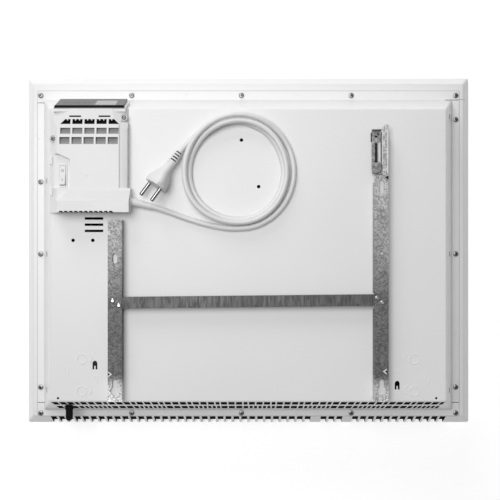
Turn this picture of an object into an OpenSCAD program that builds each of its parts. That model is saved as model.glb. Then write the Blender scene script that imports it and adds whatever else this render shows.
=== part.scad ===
// Slim panel convector heater with its wall bracket, mains lead and plug.
// It lies on its front: +Z points out of the back, +Y to the heater's top edge, +X to the
// right as seen from behind. The origin is the centre of the front face. Millimetres.

/* [Front shell] */
// Width of the heater
body_w = 563; // [540:1:700]
// Height of the heater, along Y
body_h = 440; // [430:1:520]
// Depth of the front shell, from its face to the lip that carries the rear pan
shell_d = 22; // [20:0.5:28]
// Thickness of the front shell's sheet
shell_t = 1.2; // [0.8:0.1:1.6]
// How far each side of the shell leans in from its front edge to its lip
shell_lean = 11.5; // [9:0.5:13]
// Height of the bevel round the front face
edge_h = 3; // [2:0.5:4]
// Radius of the shell's four corners
corner_r = 7; // [4:0.5:10]
// Height of the warm air outlet in the front face
outlet_h = 26; // [20:1:30]
// Distance from the heater's top edge to the outlet
outlet_drop = 22; // [20:0.5:26]

/* [Rear pan] */
// Depth of the pan, from its flange to its flat back
pan_depth = 50; // [46:0.5:58]
// Thickness of the pan's sheet
pan_t = 1; // [0.8:0.1:1.2]
// How far each wall of the pan leans in over its depth
pan_lean = 19; // [16:0.5:20]
// Width of the screwed flange at the pan's sides
flange_w = 9; // [8.5:0.1:9.5]
// Width of the shell's lip that shows outside the flange
lip_w = 5.5; // [4:0.1:6]
// Distance between the small inlets in the shell's bottom edge
inlet_pitch = 10; // [9:0.5:12]
// Metal left between two inlets of the pan
inlet_bar = 2.3; // [2:0.1:2.6]

/* [Control cassette] */
// Width of the cassette where it stands on the pan
cassette_w = 94; // [92:0.5:98]
// Length of the cassette, from its lower end to the pan's top edge
cassette_l = 124.5; // [122:0.5:128]
// Height of the cassette's main face over the pan
face_h = 12; // [11:0.5:13]
// Height of the ledge that holds the cord's entry, over the pan
ledge_h = 24; // [22:0.5:26]
// Thickness of the cassette's plastic
plastic_t = 2; // [1.8:0.1:2.2]
// Thickness of the dark control panel
panel_t = 2.2; // [2:0.1:2.6]
// Width of the display window
window_w = 25; // [22:1:28]
// Radius of the push buttons
button_r = 4; // [3.5:0.1:4.2]
// How far a button travels when it is pressed
button_travel = 0.8; // [0.6:0.1:1]
// Angle between the rocker's two positions
rocker_throw = 18; // [14:1:18]

/* [Heating] */
// Room between each end of the finned element and the pan's wall
element_room = 36.5; // [34:0.5:50]
// Radius of the element over its fins
element_r = 22; // [18:0.5:22]
// Height of the element's axis over the front face
element_z = 36; // [34:0.5:36]

/* [Wall bracket] */
// Distance between the middles of the two rails
rail_gap = 312.8; // [290:0.2:330]
// Width of a rail
rail_w = 16.4; // [16:0.1:18]
// Height of a rail, from its foot edges to its back
rail_h = 14; // [13:0.5:16]
// Thickness of the bracket's sheet
rail_t = 1.2; // [1:0.1:1.4]
// Space between the left rail and the cassette
left_gap = 8.5; // [6:0.5:20]
// Distance from the pan's top edge to the full-width part of the right rail
right_drop = 81; // [78:0.5:92]
// Width of the crossbar
bar_w = 13.4; // [12:0.1:14]
// Radius of the round end of a keyhole
keyhole_r = 5.4; // [5:0.1:5.8]
// Radius of the bracket's pivot pins
pivot_r = 2; // [1.8:0.1:2.2]
// How far the release latch slides
latch_travel = 4; // [3:0.5:4]

/* [Mains lead] */
// Diameter of the cord
cord_d = 6.4; // [6:0.1:6.6]
// Diameter of a plug pin
plug_pin_d = 4.8; // [4:0.1:4.8]
// Length of a plug pin
plug_pin_l = 18.5; // [18:0.5:20]

/* [Hidden] */
$fn = 32;

// Overshoot of a cutter past the face that it opens
cut = 1;
// Gap between a sliding or turning piece and its seat
run_gap = 0.05;
// Gap round a piece that is dropped into an opening
drop_gap = 0.4;
// Gap between a soft or loose piece and what it lies on
rest_gap = 0.1;

// Levels over the floor
flange_z = shell_d;
foot_z = shell_d + pan_t;
pan_z = foot_z + pan_depth;
face_z = pan_z + face_h;
ledge_z = pan_z + ledge_h;
rail_foot_z = pan_z + 1;
rail_z = rail_foot_z + rail_h;

// Edges of the shell's lip, of the pan's flange and of the pan's foot
lip_x = body_w / 2 - shell_lean;
lip_y = body_h / 2 - shell_lean;
flange_x = lip_x - lip_w;
flange_top = lip_y - 9;
flange_bottom = -lip_y + 0.5;
foot_x = flange_x - flange_w;
foot_top = flange_top - 12;
foot_bottom = flange_bottom + 8;
pan_x = foot_x - pan_lean;
pan_top = foot_top - pan_lean;
pan_bottom = foot_bottom + pan_lean;

// Perimeter screws: pan head screws of 3.5 mm
screw_r = 1.75;
screw_head_r = 3.3;
screw_head_h = 1.7;
screw_l = 7;
screw_x = flange_x - 4.3;
screw_top = flange_top - 5.7;
screw_bottom = flange_bottom + 3.6;
screw_mid = -8.5;
screw_step = 137.6;
screw_side = -5;
side_low = foot_bottom + 28;
side_high_left = foot_top - 102;
side_high_right = foot_top - 24;
screw_places = concat(
    [for (x = [-1, 0, 1]) for (y = [screw_top, screw_bottom]) [screw_mid + x * screw_step, y]],
    [for (x = [-1, 1]) for (y = [screw_top, screw_bottom, side_low, screw_side]) [x * screw_x, y]],
    [[-screw_x, side_high_left], [screw_x, side_high_right]]
);

// Inlets: a group of wide slots and a narrow one in the upper row, and a longer group below
inlet_wide = 6.8;
inlet_half = 5;
inlet_upper = 4.1;
inlet_lower = 3.17;
upper_row = [57, 70.5];
lower_row = [32, 46];
upper_group = [inlet_wide, inlet_wide, inlet_wide, inlet_upper];
lower_group = [inlet_wide, inlet_wide, inlet_wide, inlet_half,
    inlet_lower, inlet_lower, inlet_lower, inlet_lower, inlet_lower, inlet_lower];
inlet_reach = 2 * pan_x - 3;

// Room sensor: a peg between the two inlet rows
sensor_r = 4.3;
sensor_x = -pan_x + 18.5;
sensor_z = 51.3;
sensor_tip = 12 - body_h / 2;
grommet_r = 5.3;

// Cassette, placed from the pan's top left corner
cassette_x0 = -pan_x + 0.4;
cassette_x1 = cassette_x0 + cassette_w;
cassette_y1 = pan_top;
cassette_y0 = cassette_y1 - cassette_l;
ledge_y = cassette_y0 + 13;
slope_y = ledge_y + 13;
dip_y = cassette_y1 - 19.5;
dip = 5;
side_lean = 11;
ledge_x1 = cassette_x1 + 3.4;
panel_drop = 30;
panel_run = 14;
panel_angle = -atan2(panel_drop, panel_run);
panel_l = norm([panel_drop, panel_run]);
panel_z = face_z - dip;
hood_run = (pan_z - panel_z + panel_drop) * pan_lean / pan_depth;
hood_x0 = cassette_x0 + 5.6;
hood_x1 = cassette_x1 - 3;
tub_x0 = cassette_x0 + 7;
tub_x1 = cassette_x1 - 5;
tub_y0 = cassette_y0 + 8;
tub_y1 = cassette_y1 - 8;
tub_floor = pan_z - 37;
rim_h = 1;
rim_w = 1.5;
board_z = tub_floor + 9;
board_t = 1.6;
part_z = board_z + board_t;

// Bosses that take the cassette's two screws, with a rim round each head
boss_r = 4;
boss_z = panel_z - 0.8;
boss_rim = 1.6;
boss_head_r = 2.6;
boss_places = [[cassette_x1 - 4.5, cassette_y1 - 12], [cassette_x0 + 5.6, cassette_y1 - 37.2]];

// Two corners of the cassette's face slope away: a point and the direction of each crease
corner_drop = 22;
corner_creases = [
    [cassette_x1 - 13, cassette_y1 - 20.4, -42], [cassette_x0 + 19, cassette_y1 - 19.5, 34.5]
];

// Vents of the cassette
vent_pitch = 14.2;
vent_w = 12;
vent_x0 = cassette_x0 + 15.1;
vent_rows = [[cassette_y1 - 20.3, 6], [cassette_y1 - 31.9, 7.2], [cassette_y1 - 43.9, 8.3]];
dash_pitch = 5.8;
dash_w = 4.2;

// Rocker switch in its recess
recess_x = cassette_x0 + 26.4;
recess_y0 = cassette_y0 + 29.5;
recess_y1 = recess_y0 + 40;
recess_z = pan_z + 6.5;
switch_x = cassette_x0 + 17;
switch_y = recess_y0 + 14.5;
rocker_z = recess_z + 1;
rocker_w = 6.8;
rocker_l = 23;

// Cable entry on the ledge's right wall
gland_y = cassette_y0 + 13;
gland_z = pan_z + 9;
gland_r = 5;
relief_turn = -14;
relief_l = 24;

// Finned element, low in the heater
element_l = 2 * (pan_x - element_room);
element_y = foot_bottom + 80;
bracket_x = element_l / 2 + 5;
baffle_z = pan_z - 11;
pan_inside = pan_z - pan_t;
cutout_x = 60;

// Wires from the cassette to the element and to the cut-out
wire_x = [tub_x0 + 39, tub_x0 + 59];
wire_z = tub_floor + 8;

// Bracket
rail_x = rail_gap / 2;
rail_y0 = pan_bottom + 3;
left_rail_top = cassette_y0 - left_gap;
latch_y = pan_top - right_drop;
pivot_y = rail_y0 + 4.5;
pivot_z = pan_z + 7;
keyhole_y = rail_y0 + 13;
keyhole_slot_r = 3.1;
keyhole_slot_l = 13.5;
bar_y = rail_y0 + 117.5;
bar_tilt = 0.6;
bar_lip = 8;
bar_play = 0.5;
rivet_r = 1.6;
rivet_head_r = 3;
strip_w = 7;
strip_l = 60;
latch_z = rail_z - 5;
stud_r = 1.6;

// Mains lead: the free stretch and the lead to the plug follow points chosen by hand
cord_r = cord_d / 2;
cord_z = pan_z + cord_r + rest_gap;
gland_face = [ledge_x1 + 1.4, gland_y, gland_z];
relief_way = [cos(relief_turn), sin(relief_turn), -0.1] / norm([1, -0.1]);
relief_end = gland_face + relief_l * relief_way;
coil_x = -10.4;
coil_y = 92.6;
coil_rx = 64.6;
coil_ry = 67;
cord_route = [
    relief_end, relief_end + cord_d * relief_way, [-94, 45, pan_z + 4.3],
    [-79, 39.5, cord_z], [-64, 34.5, cord_z], [-50, 30.5, cord_z], [-36, 27.5, cord_z],
    [-24, 25.75, cord_z], [coil_x - cord_d, coil_y - coil_ry, cord_z]
];
lead_route = [
    [-8, 152.2, cord_z], [-24, 152, cord_z], [-39, 148.8, cord_z], [-52.5, 142.6, cord_z],
    [-63.5, 134.6, cord_z + 0.4], [-71.5, 126.8, cord_z + 1.6], [-76.8, 121, cord_z + 3]
];
plug_turn = 235;
plug_rise = 9.5;
plug_roll = -55;
plug_start = [-80.5, 116, pan_z + 7.6];
plug_way = [cos(plug_rise) * cos(plug_turn), cos(plug_rise) * sin(plug_turn), sin(plug_rise)];
plug_l = 50;
slab_t = 5.5;
slab_outline = [[13.2, 3.5], [9.6, 9.6], [4.5, 11]];
pin_spread = 19;

// The coil's moves as it winds, as [first turn, last turn, inwards, upwards]. It climbs over
// the lead, drops inside its first loop but stays on top of the last one, and dips below on
// the left, to run inside and under the others to its end.
loop_rings = 24;
coil_turns = 2.44;
coil_moves = [
    [0.3, 0.46, 0, cord_d + 2.4], [0.8, 1, 6.9, -2], [1.04, 1.24, 2, 0], [1.28, 1.46, -2.1, 0.2],
    [1.55, 1.73, -1.3, -cord_d - 0.6], [1.78, 2, 5.3, 0], [2.02, 2.2, 1.4, 0], [2.3, 2.44, -2.8, 0]
];

// Share of the way from a to b, eased at both ends
function ease(a, b, t) = let (u = min(1, max(0, (t - a) / (b - a)))) u * u * (3 - 2 * u);

// Sum of the moves inwards (k = 2) or upwards (k = 3) after t turns
function coil_sum(t, k) =
    [for (m = coil_moves) m[k] * ease(m[0], m[1], t)] * [for (m = coil_moves) 1];
function coil_point(t) = [
    coil_x + (coil_rx - coil_sum(t, 2)) * cos(360 * t - 90),
    coil_y + (coil_ry - coil_sum(t, 2)) * sin(360 * t - 90),
    cord_z + coil_sum(t, 3)
];
function unit(v) = v / norm(v);
function coil_way(t) = unit(coil_point(t + 0.002) - coil_point(t - 0.002));
coil_steps = floor(coil_turns * loop_rings);
coil_end = coil_point(coil_turns);
coil_out = unit([coil_way(coil_turns)[0], coil_way(coil_turns)[1], 0]);
coil_route = concat(
    [coil_point(0) - [cord_d, 0, 0]],
    [for (i = [0:coil_steps]) coil_point(i / loop_rings)],
    [coil_end, coil_end + cord_d * coil_out]
);
fine_route = [for (i = [0:coil_steps * 4]) coil_point(i / loop_rings / 4)];
coil_gap = min([
    for (i = [0:len(fine_route) - 1]) for (j = [i + 24:1:len(fine_route) - 1])
        norm(fine_route[i] - fine_route[j])
]) - cord_d;
echo(coil_gap = coil_gap);

// Flat outlines set upright: along_y takes (x, z) points, along_x takes (y, z) points
module along_y(y0, y1) {
    translate([0, y1, 0]) rotate([90, 0, 0]) linear_extrude(y1 - y0) children();
}

module along_x(x0, x1) {
    translate([x0, 0, 0]) rotate([90, 0, 90]) linear_extrude(x1 - x0) children();
}

module block(x0, x1, y0, y1, z0, z1) {
    translate([x0, y0, z0]) cube([x1 - x0, y1 - y0, z1 - z0]);
}

// Cylinders along the three axes, from the lower end
module rod_x(x0, x1, y, z, r) {
    translate([x0, y, z]) rotate([0, 90, 0]) cylinder(r = r, h = x1 - x0);
}

module rod_y(x, y0, y1, z, r) {
    translate([x, y0, z]) rotate([-90, 0, 0]) cylinder(r = r, h = y1 - y0);
}

module rod_z(x, y, z0, z1, r) {
    translate([x, y, z0]) cylinder(r = r, h = z1 - z0);
}

// Block whose four walls lean in by lean on the way up
module tapered_block(x0, x1, y0, y1, z0, z1, lean) {
    intersection() {
        along_y(y0, y1) polygon([[x0, z0], [x1, z0], [x1 - lean, z1], [x0 + lean, z1]]);
        along_x(x0, x1) polygon([[y0, z0], [y1, z0], [y1 - lean, z1], [y0 + lean, z1]]);
    }
}

// Upright prism with four round corners
module round_block(x0, x1, y0, y1, z0, z1, r) {
    block(x0 + r, x1 - r, y0, y1, z0, z1);
    block(x0, x1, y0 + r, y1 - r, z0, z1);
    for (x = [x0 + r, x1 - r])
        for (y = [y0 + r, y1 - r])
            rod_z(x, y, z0, z1, r);
}

// Long hole along Y, cut through from z0 to z1
module slot_y(x, y0, y1, r, z0, z1) {
    block(x - r, x + r, y0 + r, y1 - r, z0, z1);
    rod_z(x, y0 + r, z0, z1, r);
    rod_z(x, y1 - r, z0, z1, r);
}

// Tube of a given radius and number of sides through points, square at both ends
module swept_tube(points, first_way, last_way, r, sides) {
    last = len(points) - 1;
    ways = [
        for (i = [0:last])
            i == 0 ? first_way : i == last ? last_way : unit(points[i + 1] - points[i - 1])
    ];
    rings = [
        for (i = [0:last])
            let (side = unit(cross(ways[i], [0, 0, 1])), rise = cross(side, ways[i]))
            for (k = [0:sides - 1])
                points[i] + r * (cos(360 * k / sides) * side + sin(360 * k / sides) * rise)
    ];
    walls = [
        for (i = [0:last - 1])
            for (k = [0:sides - 1])
                let (n = (k + 1) % sides, a = i * sides, b = a + sides)
                for (face = [[a + k, b + k, b + n], [a + k, b + n, a + n]]) face
    ];
    start_cap = [for (k = [1:sides - 2]) [0, k, k + 1]];
    end_cap = [for (k = [1:sides - 2]) [last * sides, last * sides + k + 1, last * sides + k]];
    polyhedron(rings, concat(walls, start_cap, end_cap), convexity = 8);
}

// Bevelled tray form of the front shell, pulled in by t
module shell_form(t) {
    w = body_w / 2 - t;
    h = body_h / 2 - t;
    top = shell_d - t;
    intersection() {
        along_y(-h, h)
            polygon([
                [edge_h - w, t], [w - edge_h, t], [w, edge_h + t], [w - shell_lean, top],
                [shell_lean - w, top], [-w, edge_h + t]
            ]);
        along_x(-w, w)
            polygon([
                [edge_h - h, t], [h - edge_h, t], [h, edge_h + t], [h - shell_lean, top],
                [shell_lean - h, top], [-h, edge_h + t]
            ]);
        round_block(-w, w, -h, h, 0, shell_d, corner_r);
    }
}

module front_shell() {
    outlet_y = body_h / 2 - outlet_drop;
    first = -24.5 * inlet_pitch;
    color("white") difference() {
        shell_form(0);
        shell_form(shell_t);
        block(-foot_x - 1, foot_x + 1, foot_bottom - 1, foot_top + 1, shell_d / 2, shell_d + cut);
        block(-pan_x, pan_x, outlet_y - outlet_h, outlet_y, -cut, shell_t + cut);
        for (i = [0:49])
            if (i != 33 && i != 37)
                translate([first + (i - 0.36) * inlet_pitch, -body_h / 2 - cut, 5])
                    cube([inlet_pitch - 2.8, shell_lean + 2, shell_d - 6.2]);
        for (place = screw_places)
            rod_z(place[0], place[1], shell_d - 3, shell_d + cut, screw_r);
    }
}

// Louvre behind the front outlet: a frame, stays and inclined blades
module outlet_grille() {
    x = pan_x - drop_gap;
    y1 = body_h / 2 - outlet_drop - drop_gap;
    y0 = y1 - outlet_h + 2 * drop_gap;
    depth = 6;
    rim = 2;
    blades = 4;
    blade_step = (y1 - y0 - 2 * rim) / blades;
    color("whitesmoke") {
        difference() {
            block(-x, x, y0, y1, 0.2, depth);
            block(rim - x, x - rim, y0 + rim, y1 - rim, 0, depth + cut);
        }
        for (i = [-3:3])
            block(i * x / 4 - 1, i * x / 4 + 1, y0 + 1, y1 - 1, 2, depth);
        for (i = [0:blades - 1])
            along_x(1 - x, x - 1)
                translate([y0 + rim + (i + 0.2) * blade_step, 0.6])
                    polygon([[0, 0], [1.2, 0], [3.6, 4.8], [2.4, 4.8]]);
        for (side = [-1, 1])
            along_x(-x, x)
                translate([side > 0 ? y1 : y0, 0])
                    polygon([[0, shell_t], [3 * side, shell_t], [3 * side, 2.4], [0, 2.4]]);
    }
}

// One row of upright inlets, made of equal groups of slots centred on the heater
module inlet_row(group, row) {
    steps = [for (w = group) w + inlet_bar];
    starts = [for (i = [0:len(group) - 1]) i == 0 ? 0 : sum_to(steps, i)];
    length = sum_to(steps, len(group));
    groups = floor((inlet_reach + inlet_bar) / length);
    first = -groups * length / 2 + inlet_bar / 2;
    for (g = [0:groups - 1])
        for (i = [0:len(group) - 1])
            block(first + g * length + starts[i], first + g * length + starts[i] + group[i],
                foot_bottom - cut, pan_bottom + cut, row[0], row[1]);
}

function sum_to(list, n) = n == 0 ? 0 : list[n - 1] + sum_to(list, n - 1);

// Hook slot for a foot: an arch with a tab left standing in it
module hook_slot(x, y) {
    difference() {
        slot_y(x, y - 7.5, y + 5, 2.7, pan_inside - cut, pan_z + cut);
        block(x - 4, x + 4, y - 9, y - 5, pan_inside - 2, pan_z + 2);
        block(x - 1.3, x + 1.3, y - 6, y + 1, pan_inside - 2, pan_z + 2);
    }
}

module rear_pan() {
    wall = pan_t * 1.1;
    wall_slot_z = foot_z + 21;
    wall_slot_in = 1 - pan_lean * 22 / pan_depth / foot_x;
    emboss_x = pan_x - 38.5;
    color("white") difference() {
        union() {
            tapered_block(-foot_x, foot_x, foot_bottom, foot_top, foot_z, pan_z, pan_lean);
            block(-flange_x, flange_x, flange_bottom, flange_top, flange_z, foot_z);
            for (x = [-emboss_x, emboss_x])
                for (y = [pan_bottom + 13, pan_bottom + 51])
                    rod_z(x, y, pan_inside, pan_z + 0.6, 5.9);
        }
        tapered_block(wall - foot_x, foot_x - wall, foot_bottom + wall, foot_top - wall,
            foot_z, pan_inside, pan_lean);
        block(wall - foot_x, foot_x - wall, foot_bottom + wall, foot_top - wall,
            flange_z - cut, foot_z);
        inlet_row(upper_group, upper_row);
        inlet_row(lower_group, lower_row);
        rod_y(sensor_x, foot_bottom - cut, pan_bottom, sensor_z, sensor_r + rest_gap);
        block(tub_x0 - drop_gap, tub_x1 + drop_gap, tub_y0 - drop_gap, tub_y1 + drop_gap,
            pan_inside - cut, pan_z + cut);
        for (place = screw_places)
            rod_z(place[0], place[1], flange_z - cut, foot_z + cut, screw_r + 0.15);
        for (x = [-pan_x + 10, pan_x - 12.5])
            rod_z(x, pan_bottom + 4.5, pan_inside - cut, pan_z + cut, 1.4);
        for (hole = [[28, -32.5], [51.5, -32.5], [pan_x - 8, 87], [pan_x + 12.5, 31.5]])
            rod_z(hole[0] - pan_x, cassette_y0 + hole[1], pan_inside - cut, pan_z + cut, 2.1);
        for (i = [0:2])
            block(cassette_x0 + 41.5, cassette_x0 + 63.5, cassette_y0 - 7.9 - i * 7.4,
                cassette_y0 - 5 - i * 7.4, pan_inside - cut, pan_z + cut);
        hook_slot(-pan_x + 54, pan_bottom + 44);
        hook_slot(pan_x - 59, pan_bottom + 20);
        for (x = [-foot_x, foot_x])
            for (y = [side_low, screw_side])
                block(x * wall_slot_in - 3, x * wall_slot_in + 3, y - 3, y + 3,
                    wall_slot_z, wall_slot_z + 2.4);
        block(rail_x - 10.5, rail_x - 1, latch_y + 45, latch_y + 56, pan_inside - cut, pan_z + cut);
    }
}

// Pan head screw, head up, seated at z
module pan_head(x, y, z, length, r = screw_head_r) {
    translate([x, y, z]) difference() {
        union() {
            cylinder(r = r, h = 0.8);
            translate([0, 0, 0.8]) cylinder(r1 = r, r2 = r * 0.6, h = screw_head_h - 0.8);
            translate([0, 0, -length]) cylinder(r = screw_r - run_gap, h = length);
        }
        for (turn = [0, 90])
            rotate(turn + 45)
                translate([-1.8, -0.4, screw_head_h - 1]) cube([3.6, 0.8, 2]);
    }
}

module perimeter_screws() {
    color("silver")
        for (place = screw_places)
            pan_head(place[0], place[1], foot_z, screw_l);
}

module element_rod() {
    color("gray") rod_x(-bracket_x - 7, bracket_x + 7, element_y, element_z, 4);
}

// Extruded aluminium body with eight fins round a tube
module element_fins() {
    color("silver")
        along_x(-element_l / 2, element_l / 2)
            translate([element_y, element_z])
                difference() {
                    union() {
                        circle(r = 6.5);
                        for (i = [0:7])
                            rotate(i * 45 + 22.5)
                                translate([0, -0.7]) square([element_r, 1.4]);
                    }
                    circle(r = 4 + run_gap);
                }
}

module element_bushes() {
    color("ivory")
        for (side = [-1, 1])
            translate([side * bracket_x, element_y, element_z])
                rotate([0, 90, 0])
                    difference() {
                        translate([0, 0, -3]) cylinder(r = 7, h = 6);
                        translate([0, 0, -4]) cylinder(r = 4 + run_gap, h = 8);
                    }
}

// Hangers from the pan's inside to the element's ends, with a foot and a hole for the bush
module element_brackets() {
    t = 1.5;
    color("silver")
        for (side = [-1, 1])
            difference() {
                union() {
                    block(side * bracket_x - t / 2, side * bracket_x + t / 2, element_y - 16,
                        element_y + 16, element_z - 12, pan_inside);
                    block(side * bracket_x - (side > 0 ? t / 2 : 10), side * bracket_x
                        + (side > 0 ? 10 : t / 2), element_y - 16, element_y + 16,
                        pan_inside - t, pan_inside);
                }
                rod_x(side * bracket_x - 20, side * bracket_x + 20, element_y, element_z,
                    7 + run_gap);
            }
}

// Sheet that keeps the element's heat off the pan
module baffle() {
    x = bracket_x - 0.75 - run_gap;
    color("silver") {
        block(-x, x, element_y - 30, element_y + 75, baffle_z, baffle_z + 1);
        for (px = [-x / 2, x / 2])
            rod_z(px, element_y + 60, baffle_z + 1, pan_inside, 3);
    }
}

module thermal_cutout() {
    color("dimgray") {
        rod_z(cutout_x, element_y + 48, baffle_z - 7, baffle_z, 8);
        block(cutout_x - 12, cutout_x + 12, element_y + 44, element_y + 52, baffle_z - 1, baffle_z);
    }
}

module element_wire() {
    z = wire_z;
    x = wire_x[0];
    points = [
        [x, tub_y0 - 0.2, z], [x, tub_y0 - 10, z], [x - 6, tub_y0 - 32, z - 4],
        [x - 18, tub_y0 - 72, 40], [5 - pan_x, element_y + 60, 36],
        [4.5 - pan_x, element_y + 25, 36], [7 - pan_x, element_y + 6, 36],
        [-bracket_x - 15, element_y - 0.01, element_z], [-bracket_x - 7.2, element_y, element_z]
    ];
    color("firebrick") swept_tube(points, [0, -1, 0], [1, 0, 0], 1.5, 8);
}

module cutout_wire() {
    z = wire_z;
    x = wire_x[1];
    y = element_y + 48;
    end = cutout_x - 8.2;
    points = [
        [x, tub_y0 - 0.2, z], [x, tub_y0 - 10, z], [x + 20, tub_y0 - 37, z],
        [x + 60, tub_y0 - 72, 48], [end - 112, y + 27, 50], [end - 52, y + 10, 54],
        [end - 22, y + 2, baffle_z - 4],
        [end - 8, y, baffle_z - 4], [end, y, baffle_z - 4]
    ];
    color("royalblue") swept_tube(points, [0, -1, 0], [1, 0, 0], 1.5, 8);
}

// Open box that hangs in the pan's opening and carries the board
module cassette_tub() {
    t = 1.6;
    color("whitesmoke") difference() {
        union() {
            block(tub_x0, tub_x1, tub_y0, tub_y1, tub_floor, pan_z + rim_h);
            block(tub_x0 - rim_w, tub_x1 + rim_w, tub_y0 - rim_w, tub_y1 + rim_w, pan_z, pan_z + rim_h);
        }
        difference() {
            block(tub_x0 + t, tub_x1 - t, tub_y0 + t, tub_y1 - t, tub_floor + t, pan_z + rim_h + cut);
            for (x = [tub_x0 + 6, tub_x1 - 6])
                for (y = [tub_y0 + 6, tub_y1 - 6])
                    rod_z(x, y, tub_floor, board_z, 3);
        }
        for (x = wire_x)
            rod_y(x, tub_y0 - cut, tub_y0 + t + cut, wire_z, 2);
        for (place = boss_places)
            rod_z(place[0], place[1], pan_z, pan_z + rim_h + cut, boss_r + drop_gap);
    }
}

// Outline of the cassette from the side, thinned by t, from its lower end to the panel's top edge
function cover_side(t) = [
    [cassette_y0 + t, pan_z - t], [cassette_y0 + t, ledge_z - t], [ledge_y - t / 2, ledge_z - t],
    [slope_y - t / 2, face_z - t], [dip_y, face_z - t], [cassette_y1 - 2 * t, panel_z - t + 0.5],
    [cassette_y1 - 2 * t, pan_z - t]
];

// Solid form of the cassette's cover, thinned by t
module cover_form(t) {
    lean = side_lean * face_h / 12;
    intersection() {
        along_x(cassette_x0, ledge_x1) polygon(cover_side(t));
        union() {
            difference() {
                along_y(cassette_y0, cassette_y1)
                    polygon([
                        [cassette_x0 + t, pan_z - t - cut], [cassette_x1 - t, pan_z - t - cut],
                        [cassette_x1 - t, pan_z], [cassette_x1 - lean - t / 2 + 1, face_z - t],
                        [cassette_x0 + lean + t, face_z - t], [cassette_x0 + t, pan_z]
                    ]);
                for (crease = corner_creases)
                    translate([crease[0], crease[1], face_z - t])
                        rotate([0, 0, crease[2]]) rotate([-corner_drop, 0, 0])
                            translate([-60, 0, 0]) cube([120, 60, 40]);
            }
            intersection() {
                along_y(cassette_y0 + t, slope_y + 3 - t)
                    polygon([
                        [cassette_x0 + t, pan_z - t], [ledge_x1 - t, pan_z - t],
                        [ledge_x1 - t, ledge_z], [cassette_x0 + 15 + t, ledge_z],
                        [cassette_x0 + lean + t, face_z - t]
                    ]);
                // The ledge's slope ends in a diagonal on the left
                translate([1.3 * t, 0, 0])
                    linear_extrude(ledge_z + cut)
                        polygon([
                            [cassette_x0 - 5, cassette_y0 - 1], [ledge_x1 + 1, cassette_y0 - 1],
                            [ledge_x1 + 1, slope_y + 4], [cassette_x0 + 27, slope_y + 4],
                            [cassette_x0 + 14.4, ledge_y], [cassette_x0 - 5, ledge_y]
                        ]);
            }
        }
    }
}

// The switch's recess, grown by t and with its floor at z
module recess_form(t, z) {
    translate([0, 0, z])
        linear_extrude(face_z - z + 1)
            polygon([
                [cassette_x0 - 1, recess_y0 - t], [recess_x + t, recess_y0 - t],
                [recess_x + t, recess_y1 - 6.5 + t / 2], [recess_x - 14, recess_y1 + t],
                [cassette_x0 - 1, recess_y1 + t]
            ]);
}

// Local frame on the control panel's slope: x along the heater, y down the slope, z outwards
module on_panel() {
    translate([0, cassette_y1, panel_z]) rotate([panel_angle, 0, 0]) children();
}

window_x = hood_x1 - 12 - window_w;
button_step = (window_x - hood_x0) * 0.258;
button_x = [for (i = [1:3]) hood_x0 + i * button_step];
button_y = panel_l / 2;

module vents() {
    for (row = [0:2])
        for (i = [0:4]) {
            x = vent_x0 + i * vent_pitch - (row == 2 ? 1 : 0);
            y1 = vent_rows[row][0] + vent_rows[row][1];
            difference() {
                block(x, x + vent_w, vent_rows[row][0], y1, pan_z + 4, face_z + cut);
                if (row == 0) {
                    for (tooth = [0.3, 0.7])
                        block(x + tooth * vent_w - 0.6, x + tooth * vent_w + 0.6, y1 - 1.6, y1 + 1,
                            pan_z, face_z);
                    corner = i == 0 ? x : x + vent_w;
                    if (i == 0 || i == 4)
                        translate([corner, y1, 0]) rotate(45)
                            translate([-4, -4, 0]) cube([8, 8, face_z + 2 * cut]);
                }
            }
        }
    for (x = [vent_x0 + 10.2, vent_x0 + 44.8])
        block(x, x + 13.9, dip_y + 7.7, dip_y + 9.6, pan_z + 2, face_z + cut);
}

// Slats behind the two lower rows of vents, which hide the inside from above
module slats() {
    for (row = [1, 2]) {
        y0 = vent_rows[row][0] - 1;
        y1 = y0 + vent_rows[row][1] + 2;
        along_x(vent_x0 - 2, vent_x0 + 4 * vent_pitch + vent_w + 1)
            polygon([
                [y0, face_z - 2.6], [y0, face_z - 1.8], [y0 + 1, face_z - 1.8],
                [y1, face_z - 5], [y1, face_z - 6.2]
            ]);
    }
}

module cassette_cover() {
    color("white") {
        cover_body();
        slats();
    }
}

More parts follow.
